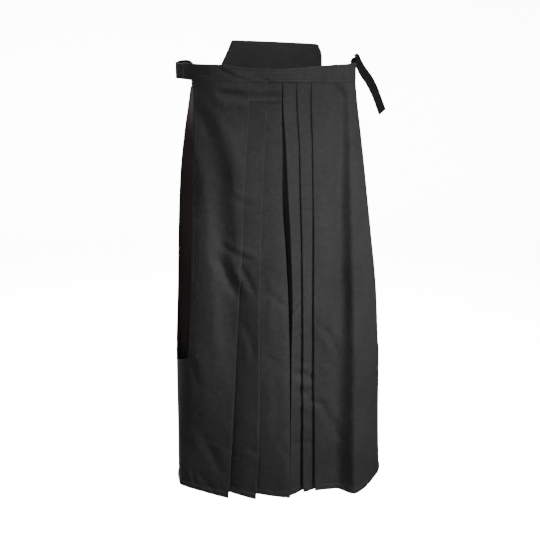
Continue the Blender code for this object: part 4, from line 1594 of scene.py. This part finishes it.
class HAKAMA_OT_strap_end(bpy.types.Operator):
    """Model the strap's free end, turned over the band and hanging outside"""

    bl_idname = "hakama.strap_end"
    bl_label = "Strap end"

    def execute(self, context):
        rows = [[s.x * MM, s.y * MM, s.z * MM, s.wide_x, s.wide_y, s.wide_z]
                for s in STRAP_END_ROUTE]
        at, route = curve_through(rows, 2 * MM)
        wide = route[:, 3:]
        along = np.gradient(route[:, :3], axis=0)
        along /= np.linalg.norm(along, axis=1, keepdims=True)
        wide = wide - along * np.sum(wide * along, axis=1, keepdims=True)
        wide /= np.linalg.norm(wide, axis=1, keepdims=True)
        piece = webbing_piece("strap_end_webbing", at, route[:, :3], wide)
        dressed(piece, finish_of("Black webbing"), "webbing", "strap_end_left")
        return {"FINISHED"}


# ------------------------------------------------------------- stage

class HAKAMA_OT_stage(bpy.types.Operator):
    """Set the pale floor, the soft lights and the camera"""

    bl_idname = "hakama.stage"
    bl_label = "Stage"

    def execute(self, context):
        pale = bpy.data.materials.new("Pale floor")
        pale.use_nodes = True
        shader = pale.node_tree.nodes["Principled BSDF"]
        shader.inputs["Base Color"].default_value = (*context.scene.hakama_colours.floor, 1)
        shader.inputs["Roughness"].default_value = 0.7
        bpy.ops.mesh.primitive_circle_add(
            vertices=96, radius=1, fill_type="NOTHING", location=(0, 0, HEM_Z - 0.5))
        floor = context.object
        floor.name = "floor"
        ring = [vertex.co.copy() for vertex in floor.data.vertices]
        turn = spaced(0, pi / 2, 12)
        reach = np.concatenate([[0.01, 1.2, 2.4], 3.6 + 1.4 * np.sin(turn), [5.0, 5.0]])
        rise = np.concatenate([[0, 0, 0], 1.4 - 1.4 * np.cos(turn), [4.0, 8.0]])
        points, faces = [], []
        for wide, high in zip(reach, rise):
            points.extend((place.x * wide, place.y * wide, high) for place in ring)
        count = len(ring)
        for level in range(len(reach) - 1):
            for k in range(count):
                after = (k + 1) % count
                low, upper = level * count, (level + 1) * count
                faces.append((low + k, low + after, upper + after, upper + k))
        faces.append(tuple(range(count)))
        floor.data.clear_geometry()
        floor.data.from_pydata(points, [], faces)
        floor.data.materials.append(pale)
        floor.visible_diffuse = False
        floor.visible_glossy = False
        smooth(floor, 60)
        backdrop = bpy.data.collections.new("Backdrop")
        backdrop.objects.link(floor)

        for name, place, aim, size, power, colour, spread in (
            ("key light", (1.25, -1.75, 1.0), (-0.02, 0, -0.52), 0.6, 4.9, (1, 1, 1), 34),
            ("fill light", (-0.9, -2.4, 0.15), (0, 0, -0.5), 1.0, 20, (1, 0.99, 0.985), 180),
            ("back light", (-1.3, 1.9, 0.9), (0, 0, -0.3), 1.0, 90, (1, 1, 1), 180),
            ("backdrop light", (0.0, 1.4, 2.4), (0, 3.0, -0.9), 4.0, 4200, (1, 1, 1), 180),
        ):
            lamp = bpy.data.lights.new(name, "AREA")
            lamp.size = size
            lamp.spread = radians(spread)
            lamp.energy = power
            lamp.color = colour
            light = bpy.data.objects.new(name, lamp)
            light.location = place
            light.visible_camera = False
            way = Vector(aim) - Vector(place)
            light.rotation_euler = way.to_track_quat("-Z", "Y").to_euler()
            context.scene.collection.objects.link(light)
        # the last light brightens only the backdrop
        light.light_linking.receiver_collection = backdrop
        light.light_linking.blocker_collection = backdrop

        world = bpy.data.worlds.new("Soft room")
        world.use_nodes = True
        air = world.node_tree.nodes["Background"]
        air.inputs["Color"].default_value = (1, 1, 1, 1)
        air.inputs["Strength"].default_value = 0.21
        context.scene.world = world

        camera = bpy.data.cameras.new("Camera")
        camera.lens = 86.93
        camera.sensor_width = 36
        viewer = bpy.data.objects.new("Camera", camera)
        viewer.location = (-0.47355, -2.65815, 0.39039)
        viewer.rotation_euler = (radians(90 - 17.1608), 0, radians(-10))
        context.scene.collection.objects.link(viewer)
        context.scene.camera = viewer
        return {"FINISHED"}


# ------------------------------------------------------------- panel

OPERATORS = (
    HAKAMA_OT_stage,
    HAKAMA_OT_front_panels,
    HAKAMA_OT_back_panels,
    HAKAMA_OT_inner_legs,
    HAKAMA_OT_waistbands,
    HAKAMA_OT_back_board,
    HAKAMA_OT_side_belts,
    HAKAMA_OT_strap_end,
)


class HAKAMA_PT_pieces(bpy.types.Panel):
    """Lists the pieces of the hakama"""

    bl_label = "Hakama"
    bl_space_type = "VIEW_3D"
    bl_region_type = "UI"
    bl_category = "Hakama"

    def draw(self, context):
        scene = context.scene
        for group in (scene.hakama_cloth, scene.hakama_stitches, scene.hakama_colours):
            box = self.layout.box()
            for key in group.__annotations__:
                box.prop(group, key)
        for operator in OPERATORS:
            self.layout.operator(operator.bl_idname)


CLASSES = (HakamaCloth, HakamaStitches, HakamaColours, *OPERATORS, HAKAMA_PT_pieces)


def register():
    for item in CLASSES:
        bpy.utils.register_class(item)
    bpy.types.Scene.hakama_cloth = PointerProperty(type=HakamaCloth)
    bpy.types.Scene.hakama_stitches = PointerProperty(type=HakamaStitches)
    bpy.types.Scene.hakama_colours = PointerProperty(type=HakamaColours)


def unregister():
    del bpy.types.Scene.hakama_colours
    del bpy.types.Scene.hakama_stitches
    del bpy.types.Scene.hakama_cloth
    for item in reversed(CLASSES):
        bpy.utils.unregister_class(item)


def main():
    register()
    bpy.ops.hakama.stage()
    bpy.ops.hakama.front_panels()
    bpy.ops.hakama.back_panels()
    bpy.ops.hakama.inner_legs()
    bpy.ops.hakama.waistbands()
    bpy.ops.hakama.back_board()
    bpy.ops.hakama.side_belts()
    bpy.ops.hakama.strap_end()


if __name__ == "__main__":
    main()
